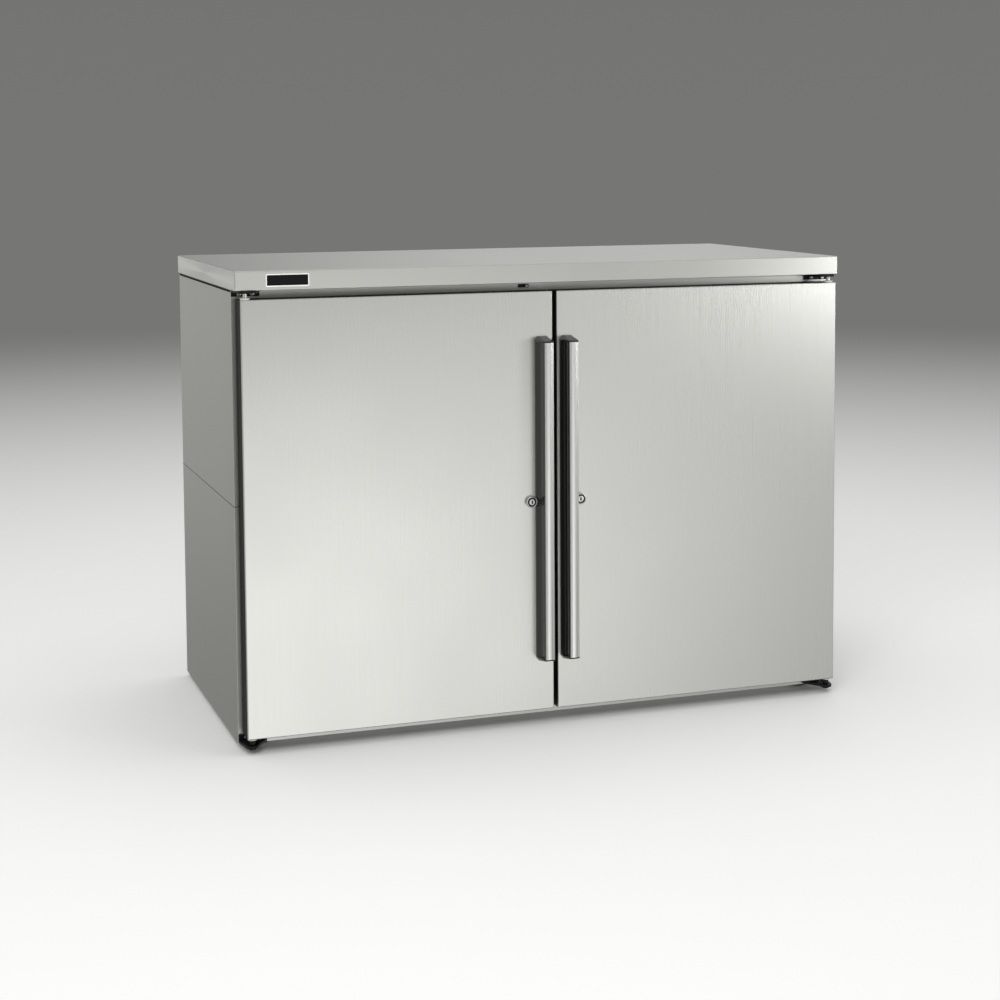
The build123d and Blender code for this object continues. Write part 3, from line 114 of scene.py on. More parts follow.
def addBump(tree, shader, height, distance, strength):
    # distance is the depth of the relief in millimetres
    bump = addNode(tree, "ShaderNodeBump", None, {
        "Height": height, "Distance": distance * mm, "Strength": strength})
    tree.links.new(bump.outputs["Normal"], shader.inputs["Normal"])


def tintBy(tree, shader, value, dark, light):
    # colour that drifts between two close tones
    mix = addNode(tree, "ShaderNodeMix", {"data_type": "RGBA"}, {"Factor": value})
    mix.inputs["A"].default_value = srgb(dark)
    mix.inputs["B"].default_value = srgb(light)
    tree.links.new(mix.outputs["Result"], shader.inputs["Base Color"])


# materials, each named for what it is and how its surface was made

# the two tones of each face are also set lighter or darker to the light that falls on it: painted
# light on the counter top, painted shade on the side panels and on the frame under the counter
steelGrainAndPaintedLight = {
    # grain size in mm along x, y, z: a No. 4 belt finish has scratches of 0.1 mm, and they are
    # drawn 1 mm wide to show
    "counter": {"size": (260, 1.0, 260), "tangent": "X", "rough": 0.30,
                "dark": "#d0d1cb", "light": "#dadbd5"},
    "door": {"size": (1.0, 260, 320), "tangent": "Z", "rough": 0.28,
             "dark": "#cccdc8", "light": "#d4d5d0"},
    "side": {"size": (260, 1.0, 320), "tangent": "Z", "rough": 0.36,
             "dark": "#c2c3bd", "light": "#cccdc7"},
    "frame": {"size": (260, 260, 1.0), "tangent": "X", "rough": 0.33,
              "dark": "#c0c1bc", "light": "#cccdc8"},
}

brushing = {"stretch": 0.45, "scratchDrift": 0.012, "cloud": 240, "cloudDrift": 0.01,
            "depth": 0.004, "bump": 0.2}


def brushedSteel(name, grain, b=brushing):
    # 304 stainless sheet, belt brushed: long fine scratches one way, so highlights stretch
    # across them, and faint clouds where the belt pressed harder
    rough = grain["rough"]
    material, tree, shader = startMaterial(name, grain["light"], rough, 1.0,
                                           Anisotropic=b["stretch"])
    scratches = stretchedNoise(tree, grain["size"], 3.0)
    clouds = stretchedNoise(tree, (b["cloud"],) * 3, 1.0, 3.1)
    # these tones carry each face's painted light or painted shade as well as the scratches' drift
    tintBy(tree, shader, scratches.outputs["Fac"], grain["dark"], grain["light"])
    both = addNode(tree, "ShaderNodeMath", {"operation": "ADD"}, {
        0: spread(tree, scratches.outputs["Fac"], -b["scratchDrift"], b["scratchDrift"]),
        1: spread(tree, clouds.outputs["Fac"], rough - b["cloudDrift"], rough + b["cloudDrift"])})
    tree.links.new(both.outputs[0], shader.inputs["Roughness"])
    addBump(tree, shader, scratches.outputs["Fac"], b["depth"], b["bump"])
    along = addNode(tree, "ShaderNodeTangent", {
        "direction_type": "RADIAL", "axis": grain["tangent"]})
    tree.links.new(along.outputs["Tangent"], shader.inputs["Tangent"])
    return material


def plainMetal(name, dark, light, roughness, grain, depth=0.01):
    # rolled, plated or cast metal: a faint uneven tone and a very fine surface
    drift = 0.05
    material, tree, shader = startMaterial(name, light, roughness, 1.0)
    noise = stretchedNoise(tree, grain, 3.0)
    tintBy(tree, shader, noise.outputs["Fac"], dark, light)
    tree.links.new(spread(tree, noise.outputs["Fac"], roughness - drift, roughness + drift),
                   shader.inputs["Roughness"])
    addBump(tree, shader, noise.outputs["Fac"], depth, 0.4)
    return material


def pinWithPaintedShadeLow(name, pin):
    # turned steel pins, bright at the top hinges; below upTo their colour is darkened as painted
    # shade, for the dark shadow by the floor that the lower pins would mirror
    material, tree, shader = startMaterial(name, pin["light"], 0.22, 1.0)
    place = addNode(tree, "ShaderNodeTexCoord")
    axes = addNode(tree, "ShaderNodeSeparateXYZ", None, {"Vector": place.outputs["Object"]})
    high = addNode(tree, "ShaderNodeMath", {"operation": "GREATER_THAN"}, {
        0: axes.outputs["Z"], 1: pin["upTo"] * mm})
    tintBy(tree, shader, high.outputs[0], pin["dark"], pin["light"])
    turned = stretchedNoise(tree, pin["toolMarks"], 2.0)
    addBump(tree, shader, turned.outputs["Fac"], 0.01, 0.4)
    return material


def mouldedPlastic(name, dark, light, roughness, grain=1.2, depth=0.03, **more):
    # injection moulded or extruded plastic: fine spark-eroded grain, slight mottling
    drift = 0.04
    material, tree, shader = startMaterial(name, light, roughness, **more)
    noise = stretchedNoise(tree, (grain, grain, grain), 2.0)
    tintBy(tree, shader, noise.outputs["Fac"], dark, light)
    tree.links.new(spread(tree, noise.outputs["Fac"], roughness - drift, roughness + drift),
                   shader.inputs["Roughness"])
    addBump(tree, shader, noise.outputs["Fac"], depth, 0.5)
    return material


def cellTones(tree, size, settings=None):
    # cells of a real size in millimetres, each with its own random tones
    place = addNode(tree, "ShaderNodeTexCoord")
    cells = addNode(tree, "ShaderNodeTexVoronoi", {"feature": "F1"}, {
        "Vector": place.outputs["Object"], "Scale": 1.0 / (size * mm), "Randomness": 1.0})
    return addNode(tree, "ShaderNodeSeparateColor", settings, {"Color": cells.outputs["Color"]})


def spangledZinc(name):
    # hot-dip galvanised sheet: zinc crystals a few millimetres across in slightly different greys
    material, tree, shader = startMaterial(name, "#bcc1c3", 0.42, 1.0)
    tone = cellTones(tree, 7)
    tintBy(tree, shader, tone.outputs["Red"], "#b0b6b8", "#c6cbcd")
    tree.links.new(spread(tree, tone.outputs["Green"], 0.34, 0.5), shader.inputs["Roughness"])
    return material


def glossBlack(name):
    # black anodised and polished extrusion under lacquer: near black, with clean reflections
    material, tree, shader = startMaterial(name, "#1c1d1a", 0.16,
                                           **{"Coat Weight": 0.5, "Coat Roughness": 0.06})
    drawn = stretchedNoise(tree, (0.8, 0.8, 300), 2.0)
    tintBy(tree, shader, drawn.outputs["Fac"], "#181916", "#252622")
    tree.links.new(spread(tree, drawn.outputs["Fac"], 0.14, 0.22), shader.inputs["Roughness"])
    return material


def darkBoardWithPaintedShade(name):
    # pressed wood chips of a few millimetres, sealed dark; the dark tone is partly painted shade,
    # to deepen the shadow line under the counter's front edge
    material, tree, shader = startMaterial(name, "#28241f", 0.75)
    tone = cellTones(tree, 4)
    tintBy(tree, shader, tone.outputs["Red"], "#1e1b18", "#332e28")
    addBump(tree, shader, tone.outputs["Green"], 0.3, 0.5)
    return material


def urethaneFoam(name):
    # closed-cell polyurethane: pale yellow, tiny cells on its cut and skin faces
    material, tree, shader = startMaterial(name, "#d8c79a", 0.75)
    cells = stretchedNoise(tree, (2, 2, 2), 4.0)
    tintBy(tree, shader, cells.outputs["Fac"], "#cdb984", "#e4d6ae")
    addBump(tree, shader, cells.outputs["Fac"], 0.4, 0.6)
    return material


def enamelPlate(name, plate):
    # enamelled plate: a black field inside a thin white border, both fired on. The field is where
    # |x - middle| and |z - middle| are less than half the plate's size less the border
    material, tree, shader = startMaterial(name, plate["field"], 0.3, **{"Specular IOR Level": 0.2})
    low, high = plate["low"], plate["high"]
    place = addNode(tree, "ShaderNodeTexCoord")
    axes = addNode(tree, "ShaderNodeSeparateXYZ", None, {"Vector": place.outputs["Object"]})
    inside = []
    for axis, index in (("X", 0), ("Z", 2)):
        middle = (low[index] + high[index]) / 2
        reach = (high[index] - low[index]) / 2 - plate["border"] * mm
        away = addNode(tree, "ShaderNodeMath", {"operation": "SUBTRACT"}, {
            0: axes.outputs[axis], 1: middle})
        size = addNode(tree, "ShaderNodeMath", {"operation": "ABSOLUTE"}, {0: away.outputs[0]})
        inside.append(addNode(tree, "ShaderNodeMath", {"operation": "LESS_THAN"}, {
            0: size.outputs[0], 1: reach}).outputs[0])
    field = addNode(tree, "ShaderNodeMath", {"operation": "MULTIPLY"}, {
        0: inside[0], 1: inside[1]}).outputs[0]
    tintBy(tree, shader, field, plate["edge"], plate["field"])
    tree.links.new(spread(tree, field, 0.35, 0.25), shader.inputs["Roughness"])
    return material


def translucentCover(name):
    # extruded opal polycarbonate: milky, lets some light through
    material, tree, shader = startMaterial(name, "#eeeee6", 0.3, **{"Transmission Weight": 0.25})
    ribs = stretchedNoise(tree, (400, 1.5, 1.5), 1.0)
    addBump(tree, shader, ribs.outputs["Fac"], 0.1, 0.4)
    return material


plateLow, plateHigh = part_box("name_plate")
plate = {"low": plateLow, "high": plateHigh, "border": 1.9, "field": "#060606", "edge": "#f0f1ee"}
# the pins' dark tone below upTo is painted shade, not a finish of the steel
pin = {"dark": "#2a2a29", "light": "#d0d0cc", "upTo": 100, "toolMarks": (3, 3, 0.4)}
dull = {"Specular IOR Level": 0.2}         # rubber and plastic with hardly any shine
halfDull = {"Specular IOR Level": 0.3}

finish = {
    # one material for each slot of the record: two close tones, roughness, grain and relief in mm
    "stainless_counter": brushedSteel("brushedSteelCounter", steelGrainAndPaintedLight["counter"]),
    "stainless_door": brushedSteel("brushedSteelDoor", steelGrainAndPaintedLight["door"]),
    "stainless_side": brushedSteel("brushedSteelSide", steelGrainAndPaintedLight["side"]),
    "stainless_frame": brushedSteel("brushedSteelFrame", steelGrainAndPaintedLight["frame"]),
    "handle_metal": plainMetal("polishedStainlessStrip", "#d6d7d3", "#e0e1dd", 0.30, (3, 3, 300),
                               0.003),
    "lock_chrome": plainMetal("satinChromeLock", "#dadad6", "#e8e8e4", 0.2, (0.6, 0.6, 0.6)),
    "bright_steel": pinWithPaintedShadeLow("turnedSteelPinPaintedShade", pin),
    "zinc_plated_steel": plainMetal("zincPlatedSteel", "#b4b6b6", "#c6c8c8", 0.32, (1.5, 1.5, 1.5)),
    "zinc_coated_steel": spangledZinc("galvanisedSheet"),
    "liner_sheet": plainMetal("satinAluminiumLiner", "#c3c5c5", "#cfd1d1", 0.38, (1.2, 200, 200)),
    "aluminium_fins": plainMetal("rolledAluminiumFins", "#b9bcbe", "#caccce", 0.35, (6, 6, 6)),
    "aluminium_blade": plainMetal("pressedAluminiumFan", "#b3b6b8", "#c4c7c9", 0.33, (8, 8, 8)),
    "copper_tube": plainMetal("drawnCopperTube", "#a8694a", "#c07d58", 0.3, (6, 6, 6)),
    "black_enamel": mouldedPlastic("blackPowderCoat", "#060606", "#0d0e0e", 0.45, 0.8, 0.03,
                                   **halfDull),
    "motor_casing": mouldedPlastic("blackPaintedMotor", "#101112", "#1c1d1e", 0.42, 1.0, 0.05),
    "handle_plastic": glossBlack("blackLacqueredHandle"),
    "black_plastic": mouldedPlastic("blackAbs", "#070708", "#0f0f10", 0.45, **halfDull),
    "fan_plastic": mouldedPlastic("blackNylonFan", "#141516", "#1f2021", 0.45),
    "door_edge_plastic": mouldedPlastic("blackPvcEdge", "#070707", "#0d0d0d", 0.5, **dull),
    "black_rubber": mouldedPlastic("blackRubberMount", "#050505", "#0c0c0c", 0.8, **dull),
    "gasket_rubber": mouldedPlastic("blackVinylSeal", "#070707", "#101010", 0.55, 2.0, 0.02),
    "grey_plastic": mouldedPlastic("greyAbsBreaker", "#8b8d8c", "#979998", 0.45),
    "door_liner_plastic": mouldedPlastic("vacuumFormedLiner", "#ccceca", "#d8dad6", 0.3, 3.0, 0.03),
    "white_plastic": mouldedPlastic("whiteAbs", "#d3d3cc", "#e2e2dc", 0.32),
    "bush_plastic": mouldedPlastic("naturalNylonBush", "#c9c8bf", "#dad9d0", 0.4),
    "coated_wire": mouldedPlastic("epoxyCoatedWire", "#b9bab6", "#c8c9c5", 0.35, 3.0, 0.05),
    "white_sheet": mouldedPlastic("whitePaintedSheet", "#d6d7d3", "#e2e3df", 0.36, 2.0, 0.03),
    "light_cover": translucentCover("opalLightCover"),
    "rigid_foam": urethaneFoam("polyurethaneFoam"),
    "board_core": darkBoardWithPaintedShade("darkChipboardCorePaintedShade"),
    "plug_face": plainMetal("brightPlugFace", "#e6e6e2", "#f2f2ef", 0.34, (0.5, 0.5, 0.5)),
    "blank_plate": enamelPlate("blackEnamelPlate", plate),
}
slotOf = {part["node"]: part["material_slot"] for part in frame["record"]["subparts"]}
for name, node in nodes.items():
    for slot in node.material_slots:
        slot.material = finish[slotOf[name]]
print("materials made:", len(finish))


# meshes from grids of points

def gridMesh(name, grids, slot, body, smoothAngle=40.0, look=None):
    # each grid is (points, wrapRows, wrapColumns, ends): rows x columns of points joined into
    # quads, closed on themselves where wrapped, with an end face on the first and last row
    # where ends is true
    corners, faces, start = [], [], 0
    for points, wrapRows, wrapColumns, ends in grids:
        rows, columns = points.shape[:2]
        row, column = np.meshgrid(np.arange(rows if wrapRows else rows - 1),
                                  np.arange(columns if wrapColumns else columns - 1), indexing="ij")
        rowNext, columnNext = (row + 1) % rows, (column + 1) % columns
        quads = np.stack([row * columns + column, rowNext * columns + column,
                          rowNext * columns + columnNext, row * columns + columnNext], -1)
        faces += (quads.reshape(-1, 4) + start).tolist()
        if ends:
            faces += [list(range(start, start + columns)),
                      list(range(start + (rows - 1) * columns, start + rows * columns))]
        corners.append(points.reshape(-1, 3))
        start += rows * columns
    mesh = bpy.data.meshes.new(name)
    mesh.from_pydata(np.concatenate(corners), [], faces)
    shape = bmesh.new()
    shape.from_mesh(mesh)
    bmesh.ops.recalc_face_normals(shape, faces=shape.faces)
    shape.to_mesh(mesh)
    shape.free()
    mesh.shade_smooth()
    mesh.set_sharp_from_angle(angle=radians(smoothAngle))
    mesh.materials.append(finish[look or slot])
    piece = bpy.data.objects.new(name, mesh)
    bpy.context.scene.collection.objects.link(piece)
    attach(piece, body)
    return piece


def metres(x, y, z):
    # three arrays of millimetres to one array of points
    return np.stack([x, y, z], -1) * mm


def turnSteps(steps):
    # angles once round, without the last, which is the first again
    return np.linspace(0, 2 * pi, steps, endpoint=False)


def carriedUp(section, middle, levels):
    # an outline (across, ahead) repeated at each level: x, y and z as rows of one section each
    x = np.broadcast_to(middle + section[:, 0], (len(levels), len(section)))
    return x, np.broadcast_to(section[:, 1], x.shape), np.broadcast_to(levels[:, None], x.shape)


def roundedOutline(corners, radius, steps=5):
    # a closed outline whose corners are quadratic curves that start radius away from each corner
    corners = np.array(corners, float)
    before, after = np.roll(corners, 1, 0) - corners, np.roll(corners, -1, 0) - corners
    radius = np.broadcast_to(np.asarray(radius, float), len(corners))[:, None]
    start = corners + before / np.linalg.norm(before, axis=1, keepdims=True) * radius
    end = corners + after / np.linalg.norm(after, axis=1, keepdims=True) * radius
    t = np.linspace(0, 1, steps)[None, :, None]
    curve = (start[:, None] * (1 - t) ** 2 + corners[:, None] * 2 * t * (1 - t)
             + end[:, None] * t ** 2)
    return curve.reshape(-1, 2)


def tubeGrid(path, radius, steps=12):
    # a round tube: path points plus radius x (side cos a + up sin a), with side and up square
    # to the path
    path = np.array(path, float)
    along = np.gradient(path, axis=0)
    along /= np.linalg.norm(along, axis=1, keepdims=True)
    helper = np.where(np.abs(along[:, 2:3]) < 0.9, [[0.0, 0.0, 1.0]], [[1.0, 0.0, 0.0]])
    side = np.cross(along, helper)
    side /= np.linalg.norm(side, axis=1, keepdims=True)
    up = np.cross(side, along)
    angle = turnSteps(steps)
    ring = side[:, None] * np.cos(angle)[None, :, None] + up[:, None] * np.sin(angle)[None, :, None]
    return path[:, None] + radius * ring


def turnedGrid(profile, origin, axis, steps=64):
    # a turned shape: profile rows are (radius, distance along the axis), swept once round it
    axis = np.array(axis, float)
    side = np.cross(axis, [0, 0, 1] if abs(axis[2]) < 0.9 else [1, 0, 0])
    side /= np.linalg.norm(side)
    up = np.cross(axis, side)
    angle = turnSteps(steps)
    ring = np.cos(angle)[:, None] * side + np.sin(angle)[:, None] * up
    profile = np.array(profile, float)
    return np.array(origin) + profile[:, None, 1:2] * axis + profile[:, None, 0:1] * ring[None]


# handles: an extruded grip with hollow sides between two bevelled end caps

handle = {
    "middle": 25.0, "face": -290.0, "low": 126.0, "high": 752.0,     # place on the door
    "base": 31.0, "front": 19.0, "waist": 18.0, "waistHeight": 20.0, "foot": 5.0, "seat": 37.0,
    "ankleInset": 1.0, "shoulderDrop": 4.0, "lean": 0.25, "edge": 0.9, "soft": 0.3,
    "cap": 10.0, "capUpright": 3.0, "capMargin": 0.6, "capCrown": 38.8, "crownInset": 1.5,
    "capSlope": (0.66, 0.12), "capEdges": (0.8, 0.8, 1.0, 1.0, 1.0, 1.0), "capOverlap": 0.5,
    "easeBefore": 0.35, "easeAfter": 0.14, "tipAt": 0.93, "tip": (1, 0.97, 0.9),
    "lockAt": 49.5, "lockHeight": 436.0, "lockReach": 11.6, "lockDepth": 8.0, "lockMargin": 1.5,
    "rows": 9, "lockRows": 49,
}


def gripOutline(h):
    # half of the section: foot, ankle, then a parabola through the waist up to the shoulder
    # and the seat
    base, front = h["base"] / 2, h["front"] / 2
    ankle = np.array([base - h["ankleInset"], h["foot"]])
    shoulder = np.array([front, h["seat"] - h["shoulderDrop"]])
    t = np.linspace(0, 1, 15)[1:-1]
    drop = 4 * t * (1 - t)
    straight = ankle + (shoulder - ankle) * t[:, None]
    level = (straight[:, 1] - h["waistHeight"]) / (h["seat"] - h["foot"])
    pull = np.interp(h["waistHeight"], straight[:, 1], straight[:, 0]) - h["waist"] / 2
    hollowX = straight[:, 0] - pull * drop / drop.max() * (1 - h["lean"] * level)
    hollow = np.stack([hollowX, straight[:, 1]], -1)
    half = np.concatenate([[[base, 0.0]], [ankle], hollow, [shoulder], [[front, h["seat"]]]])
    return np.concatenate([half, half[::-1] * [-1, 1]])


def capGrids(side, h):
    # each cap: its outline shrinks in rows (outwards, x scale, y scale), upright at first and then
    # sloping back, and the edge between is eased by a quadratic curve
    half, front, seat = h["base"] / 2, h["front"] / 2 + h["capMargin"], h["seat"]
    crown = front - h["crownInset"]
    outline = roundedOutline([(-half, 0), (half, 0), (front, seat), (crown, h["capCrown"]),
                              (-crown, h["capCrown"]), (-front, seat)], h["capEdges"], 5)
    start, corner, end = np.array([
        (0, 1, 1), (h["capUpright"], 1, 1), (h["cap"], *h["capSlope"])], float)
    slope = end - corner
    t = np.linspace(0, 1, 7)[:, None]
    eased = ((corner + (start - corner) * h["easeBefore"]) * (1 - t) ** 2 + corner * 2 * t * (1 - t)
             + (corner + slope * h["easeAfter"]) * t ** 2)
    rows = np.concatenate([[start], eased, [corner + slope * h["tipAt"]], [end * h["tip"]]])
    grids = []
    for level, outwards in ((h["low"], -1), (h["high"], 1)):
        inner = level - outwards * h["cap"]
        x = side * h["middle"] + rows[:, 1:2] * outline[None, :, 0]
        y = h["face"] - rows[:, 2:3] * outline[None, :, 1]
        z = np.broadcast_to(inner + outwards * rows[:, 0:1], x.shape)
        grids.append((metres(x, y, z), False, True, True))
    return grids


def makeGrip(name, side, h):
    # the rounded section carried straight up, with close levels where it passes the key cylinder
    section = gripOutline(h)
    easing = np.full(len(section), h["soft"])
    easing[[0, 1, -1, -2]] = h["edge"]
    front = len(section) // 2
    easing[front - 2:front + 2] = h["edge"]
    section = roundedOutline(section, easing, 4)
    close = h["lockReach"] + h["lockMargin"]
    inset = h["cap"] - h["capOverlap"]
    levels = np.unique(np.concatenate([
        np.linspace(h["low"] + inset, h["high"] - inset, h["rows"]),
        np.linspace(h["lockHeight"] - close, h["lockHeight"] + close, h["lockRows"])]))
    x, ahead, z = carriedUp(section, 0.0, levels)
    x, y = side * h["middle"] + x, h["face"] - ahead
    # beside the key cylinder the foot is scooped out to a circle round the cylinder
    reach = np.sqrt(np.clip(h["lockReach"] ** 2 - (z - h["lockHeight"]) ** 2, 0, None))
    limit = h["lockAt"] - reach
    scooped = (side * x > limit) & (reach > 0) & (h["face"] - y < h["lockDepth"])
    x[scooped] = side * limit[scooped]
    grids = [(metres(x, y, z), False, True, True)] + capGrids(side, h)
    piece = gridMesh(f"{name}HandleGrip", grids, "handle_plastic", f"{name}_door", 32.0)
    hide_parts(f"{name}_handle_grip")


# strip on the handle: a shallow crowned cover with two fine grooves

strip = {"width": 17.6, "back": -326.2, "edgeFace": -328.8, "crown": -330.0,
         "low": 136.0, "high": 742.0, "groove": 0.25, "grooveAt": 0.72, "grooveWidth": 0.035,
         "edgeInset": 0.25, "edgeDrop": 0.3, "across": 61, "rows": 9}


def makeStrip(name, side, h, cover):
    # front face y = crown + (edge - crown) u^2, with a narrow bell-shaped groove near each side:
    # groove x exp(-(distance from its middle / width)^2)
    u = np.linspace(-1, 1, cover["across"])
    bulge = cover["crown"] + (cover["edgeFace"] - cover["crown"]) * u ** 2
    away = (np.abs(u) - cover["grooveAt"]) / cover["grooveWidth"]
    groove = np.exp(-away ** 2) * cover["groove"]
    half = cover["width"] / 2
    front = np.stack([u * (half - cover["edgeInset"]), bulge + groove], -1)
    edge = np.array([(half, cover["edgeFace"] + cover["edgeDrop"]), (half, cover["back"])])
    section = np.concatenate([front, edge, edge[::-1] * [-1, 1]])
    levels = np.linspace(cover["low"], cover["high"], cover["rows"])
    x, y, z = carriedUp(section, side * h["middle"], levels)
    piece = gridMesh(f"{name}HandleStrip", [(metres(x, y, z), False, True, True)],
                     "handle_metal", f"{name}_door", 30.0)
    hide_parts(f"{name}_handle_strip")


# door seals: a bellows section carried round the door with mitred corners

seal = {
    "outer": ((9.35, 595.5), (50.0, 832.0)), "back": -245.0, "width": 18.0,
    "foot": 2.0, "footEdge": 0.6, "footRise": 0.7, "footSoft": 0.3,
    "neck": 3.4, "neckInset": 0.35, "folds": 2, "wallSteps": 17, "head": 7.6, "headDepth": 3.0,
    # the head's half profile: inward distance, and height from the head's top
    "headEdge": [(0.7, -2.8), (0.15, -2.2), (0.0, -1.2), (0.3, -0.4), (1.1, 0.0), (4.5, 0.0),
                 (5.0, -0.35)],
}


def makeSeal(name, side, s):
    # inward distance w and height v above the door: the side walls fold in and out like a bellows,
    # w = inset + neck (1 - cos(2 pi folds v)) / 2
    v = np.linspace(s["foot"], s["head"] - s["headDepth"], s["wallSteps"])
    fold = (1 - np.cos(2 * pi * s["folds"] * (v - v[0]) / (v[-1] - v[0]))) / 2
    inset = s["neck"] * s["neckInset"]
    wall = np.stack([inset + s["neck"] * fold, v], -1)
    foot = roundedOutline([(s["footEdge"], 0.0), (0.0, s["foot"] * s["footRise"]),
                           (inset, s["foot"])], s["footSoft"], 3)[1:-1]
    head = np.array(s["headEdge"]) + [0, s["head"]]
    half = np.concatenate([foot, wall, head])
    section = np.concatenate([half, (half * [-1, 1] + [s["width"], 0])[::-1]])
    (innerX, outerX), (lowZ, highZ) = s["outer"]
    w, height = section[:, 0], s["back"] + section[:, 1]
    ring = [(innerX + w, lowZ + w), (outerX - w, lowZ + w),
            (outerX - w, highZ - w), (innerX + w, highZ - w)]
    points = np.stack([np.stack([side * x, height, z], -1) for x, z in ring])
    # four points along each side, so that the long faces stay well shaped
    t = np.linspace(0, 1, 5)[:-1, None, None]
    points = np.concatenate([points[i] * (1 - t) + points[(i + 1) % 4] * t for i in range(4)])
    piece = gridMesh(f"{name}DoorSeal", [(points * mm, True, True, False)], "gasket_rubber",
                     f"{name}_door", 50.0)
    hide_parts(f"{name}_door_gasket")


# key cylinders: a rolled chrome lip, a channel in black as painted shade, a dished plug face, and
# its keyway, a black disc as painted shade

lock = {
    "at": 49.5, "height": 436.0, "face": -290.0,
    "lip": (8.1, 10.9), "lipFront": 8.9, "lipBack": 6.2, "lipFoot": 1,
    "channel": (5.8, 8.3), "channelFront": 7.95, "channelDeep": 0.9,
    "plug": 5.9, "plugFront": 8.9, "plugDeep": 1.2, "rimDrop": 0.4, "dish": 0.12,
    "slot": (3.2, 6.6), "slotDeep": 0.7, "slotEdge": 0.25,
    "keyGap": 0.15, "keyDeep": 0.55, "keyNotch": 0.35, "notchPart": 6,
    "faceRings": 34, "faceSteps": 96, "keyRings": 8,
}


def makeLock(name, side, k):
    origin = np.array([side * k["at"], k["face"], k["height"]])
    ahead = (0, -1, 0)
    # lip: half an ellipse over the ring's width, standing from lipBack to lipFront
    inner, outer = k["lip"]
    t = np.linspace(0, pi, 15)
    lip = np.stack([(inner + outer) / 2 - (outer - inner) / 2 * np.cos(t),
                    k["lipBack"] + (k["lipFront"] - k["lipBack"]) * np.sin(t)], -1)
    lipFoot = k["lipBack"] - k["lipFoot"]
    lip = np.concatenate([[(inner, lipFoot)], lip, [(outer, lipFoot)]])
    gridMesh(f"{name}LockLip", [(turnedGrid(lip, origin, ahead) * mm, False, True, False)],
             "lock_chrome", f"{name}_door", 50.0)
    # channel: a flat ring with a short wall at both edges, black as painted shade in the recess
    low, high = k["channel"]
    top, bottom = k["channelFront"], k["channelFront"] - k["channelDeep"]
    channel = [(low, bottom), (low, top), (high, top), (high, bottom)]
    gridMesh(f"{name}LockShadeChannel", [(turnedGrid(channel, origin, ahead) * mm, False, True, False)],
             "black_plastic", f"{name}_door", 30.0)
    # plug face: height = front - rim drop x r^8 - dish x cos(pi r / 2), less the depth of the key
    # slot where |x| and |z| are inside it, and a last row that closes it down its side
    r = np.concatenate([np.linspace(0.02, 1, k["faceRings"]) ** 0.8, [1.0]])[:, None]
    a = turnSteps(k["faceSteps"])[None, :]
    x, z = k["plug"] * r * np.cos(a), k["plug"] * r * np.sin(a)
    width, length = k["slot"]
    inSlot = (np.clip((width / 2 - np.abs(x)) / k["slotEdge"], 0, 1)
              * np.clip((length / 2 - np.abs(z)) / k["slotEdge"], 0, 1))
    rise = (k["plugFront"] - k["rimDrop"] * r ** 8 - k["dish"] * np.cos(pi * r / 2)
            - k["slotDeep"] * inSlot)
    rise[-1] = k["plugFront"] - k["plugDeep"]
    face = metres(origin[0] + x, origin[1] - rise, origin[2] + z)
    gridMesh(f"{name}PlugFace", [(face, False, True, True)], "lock_chrome", f"{name}_lock", 35.0,
             "plug_face")
    # keyway in the slot, a black disc just below the face as painted shade for the hole: a rounded
    # oblong |x / w|^4 + |z / l|^4 = 1, one side notched
    bend = (np.abs(np.cos(a)) ** 4 + np.abs(np.sin(a)) ** 4) ** -0.25
    r = np.linspace(0.04, 1, k["keyRings"])[:, None]
    x = (width / 2 - k["keyGap"]) * r * bend * np.cos(a)
    z = (length / 2 - k["keyGap"]) * r * bend * np.sin(a)
    x = x - k["keyNotch"] * np.clip(x, 0, None) * (np.abs(z) < length / k["notchPart"])
    y = np.full_like(x, origin[1] - k["plugFront"] + k["keyDeep"])
    keywayShade = metres(origin[0] + x, y, origin[2] + z)
    gridMesh(f"{name}KeywayPaintedShade", [(keywayShade, False, True, True)], "lock_chrome", f"{name}_lock", 35.0,
             "black_plastic")


# screw heads on the upper and lower hinge plates: a low dome with a cross recess

screwHead = {"radius": 3.7, "rise": 0.55, "sink": 0.02, "cross": (0.75, 2.1), "crossDepth": 0.9,
             "crossEdge": 0.15, "crossEnd": 0.3, "rings": 26, "steps": 64,
             "x": (570.0, 594.0), "y": -243.6, "z": (844.5, 22.0)}


def headGrid(place, outwards, s):
    # height = rise x (1 - r^2) above the head, less the cross where |x| or |z| is inside its arm
    r = np.linspace(0.02, 1, s["rings"])[:, None]
    a = turnSteps(s["steps"])[None, :]
    x, z = s["radius"] * r * np.cos(a), s["radius"] * r * np.sin(a)
    arm, reach = s["cross"]
    inArm = [np.clip((arm / 2 - np.abs(p)) / s["crossEdge"] + 0.5, 0, 1)
             * np.clip((reach - np.abs(q)) / s["crossEnd"], 0, 1) for p, q in ((x, z), (z, x))]
    rise = s["rise"] * (1 - r ** 2) - s["crossDepth"] * np.maximum(*inArm) - s["sink"]
    return metres(place[0] + x, place[1] + outwards * rise, place[2] + z)


def makeScrewHeads(s):
    grids = [(headGrid((side * x, s["y"], z), -1, s), False, True, False)
             for side in (-1, 1) for x in s["x"] for z in s["z"]]
    gridMesh("bracketScrewHeads", grids, "zinc_plated_steel", "root")


# guard on the evaporator's fan: rings of wire on radial bars

guard = {"place": (0.0, 146.0, 705.0), "rings": (14, 76, 8), "bars": 8, "reach": (14, 78),
         "bow": 4.0, "wire": 1.0, "barWire": 1.2, "barDrop": 1.4,
         "ringSteps": 72, "wireSteps": 10, "barSteps": 9}


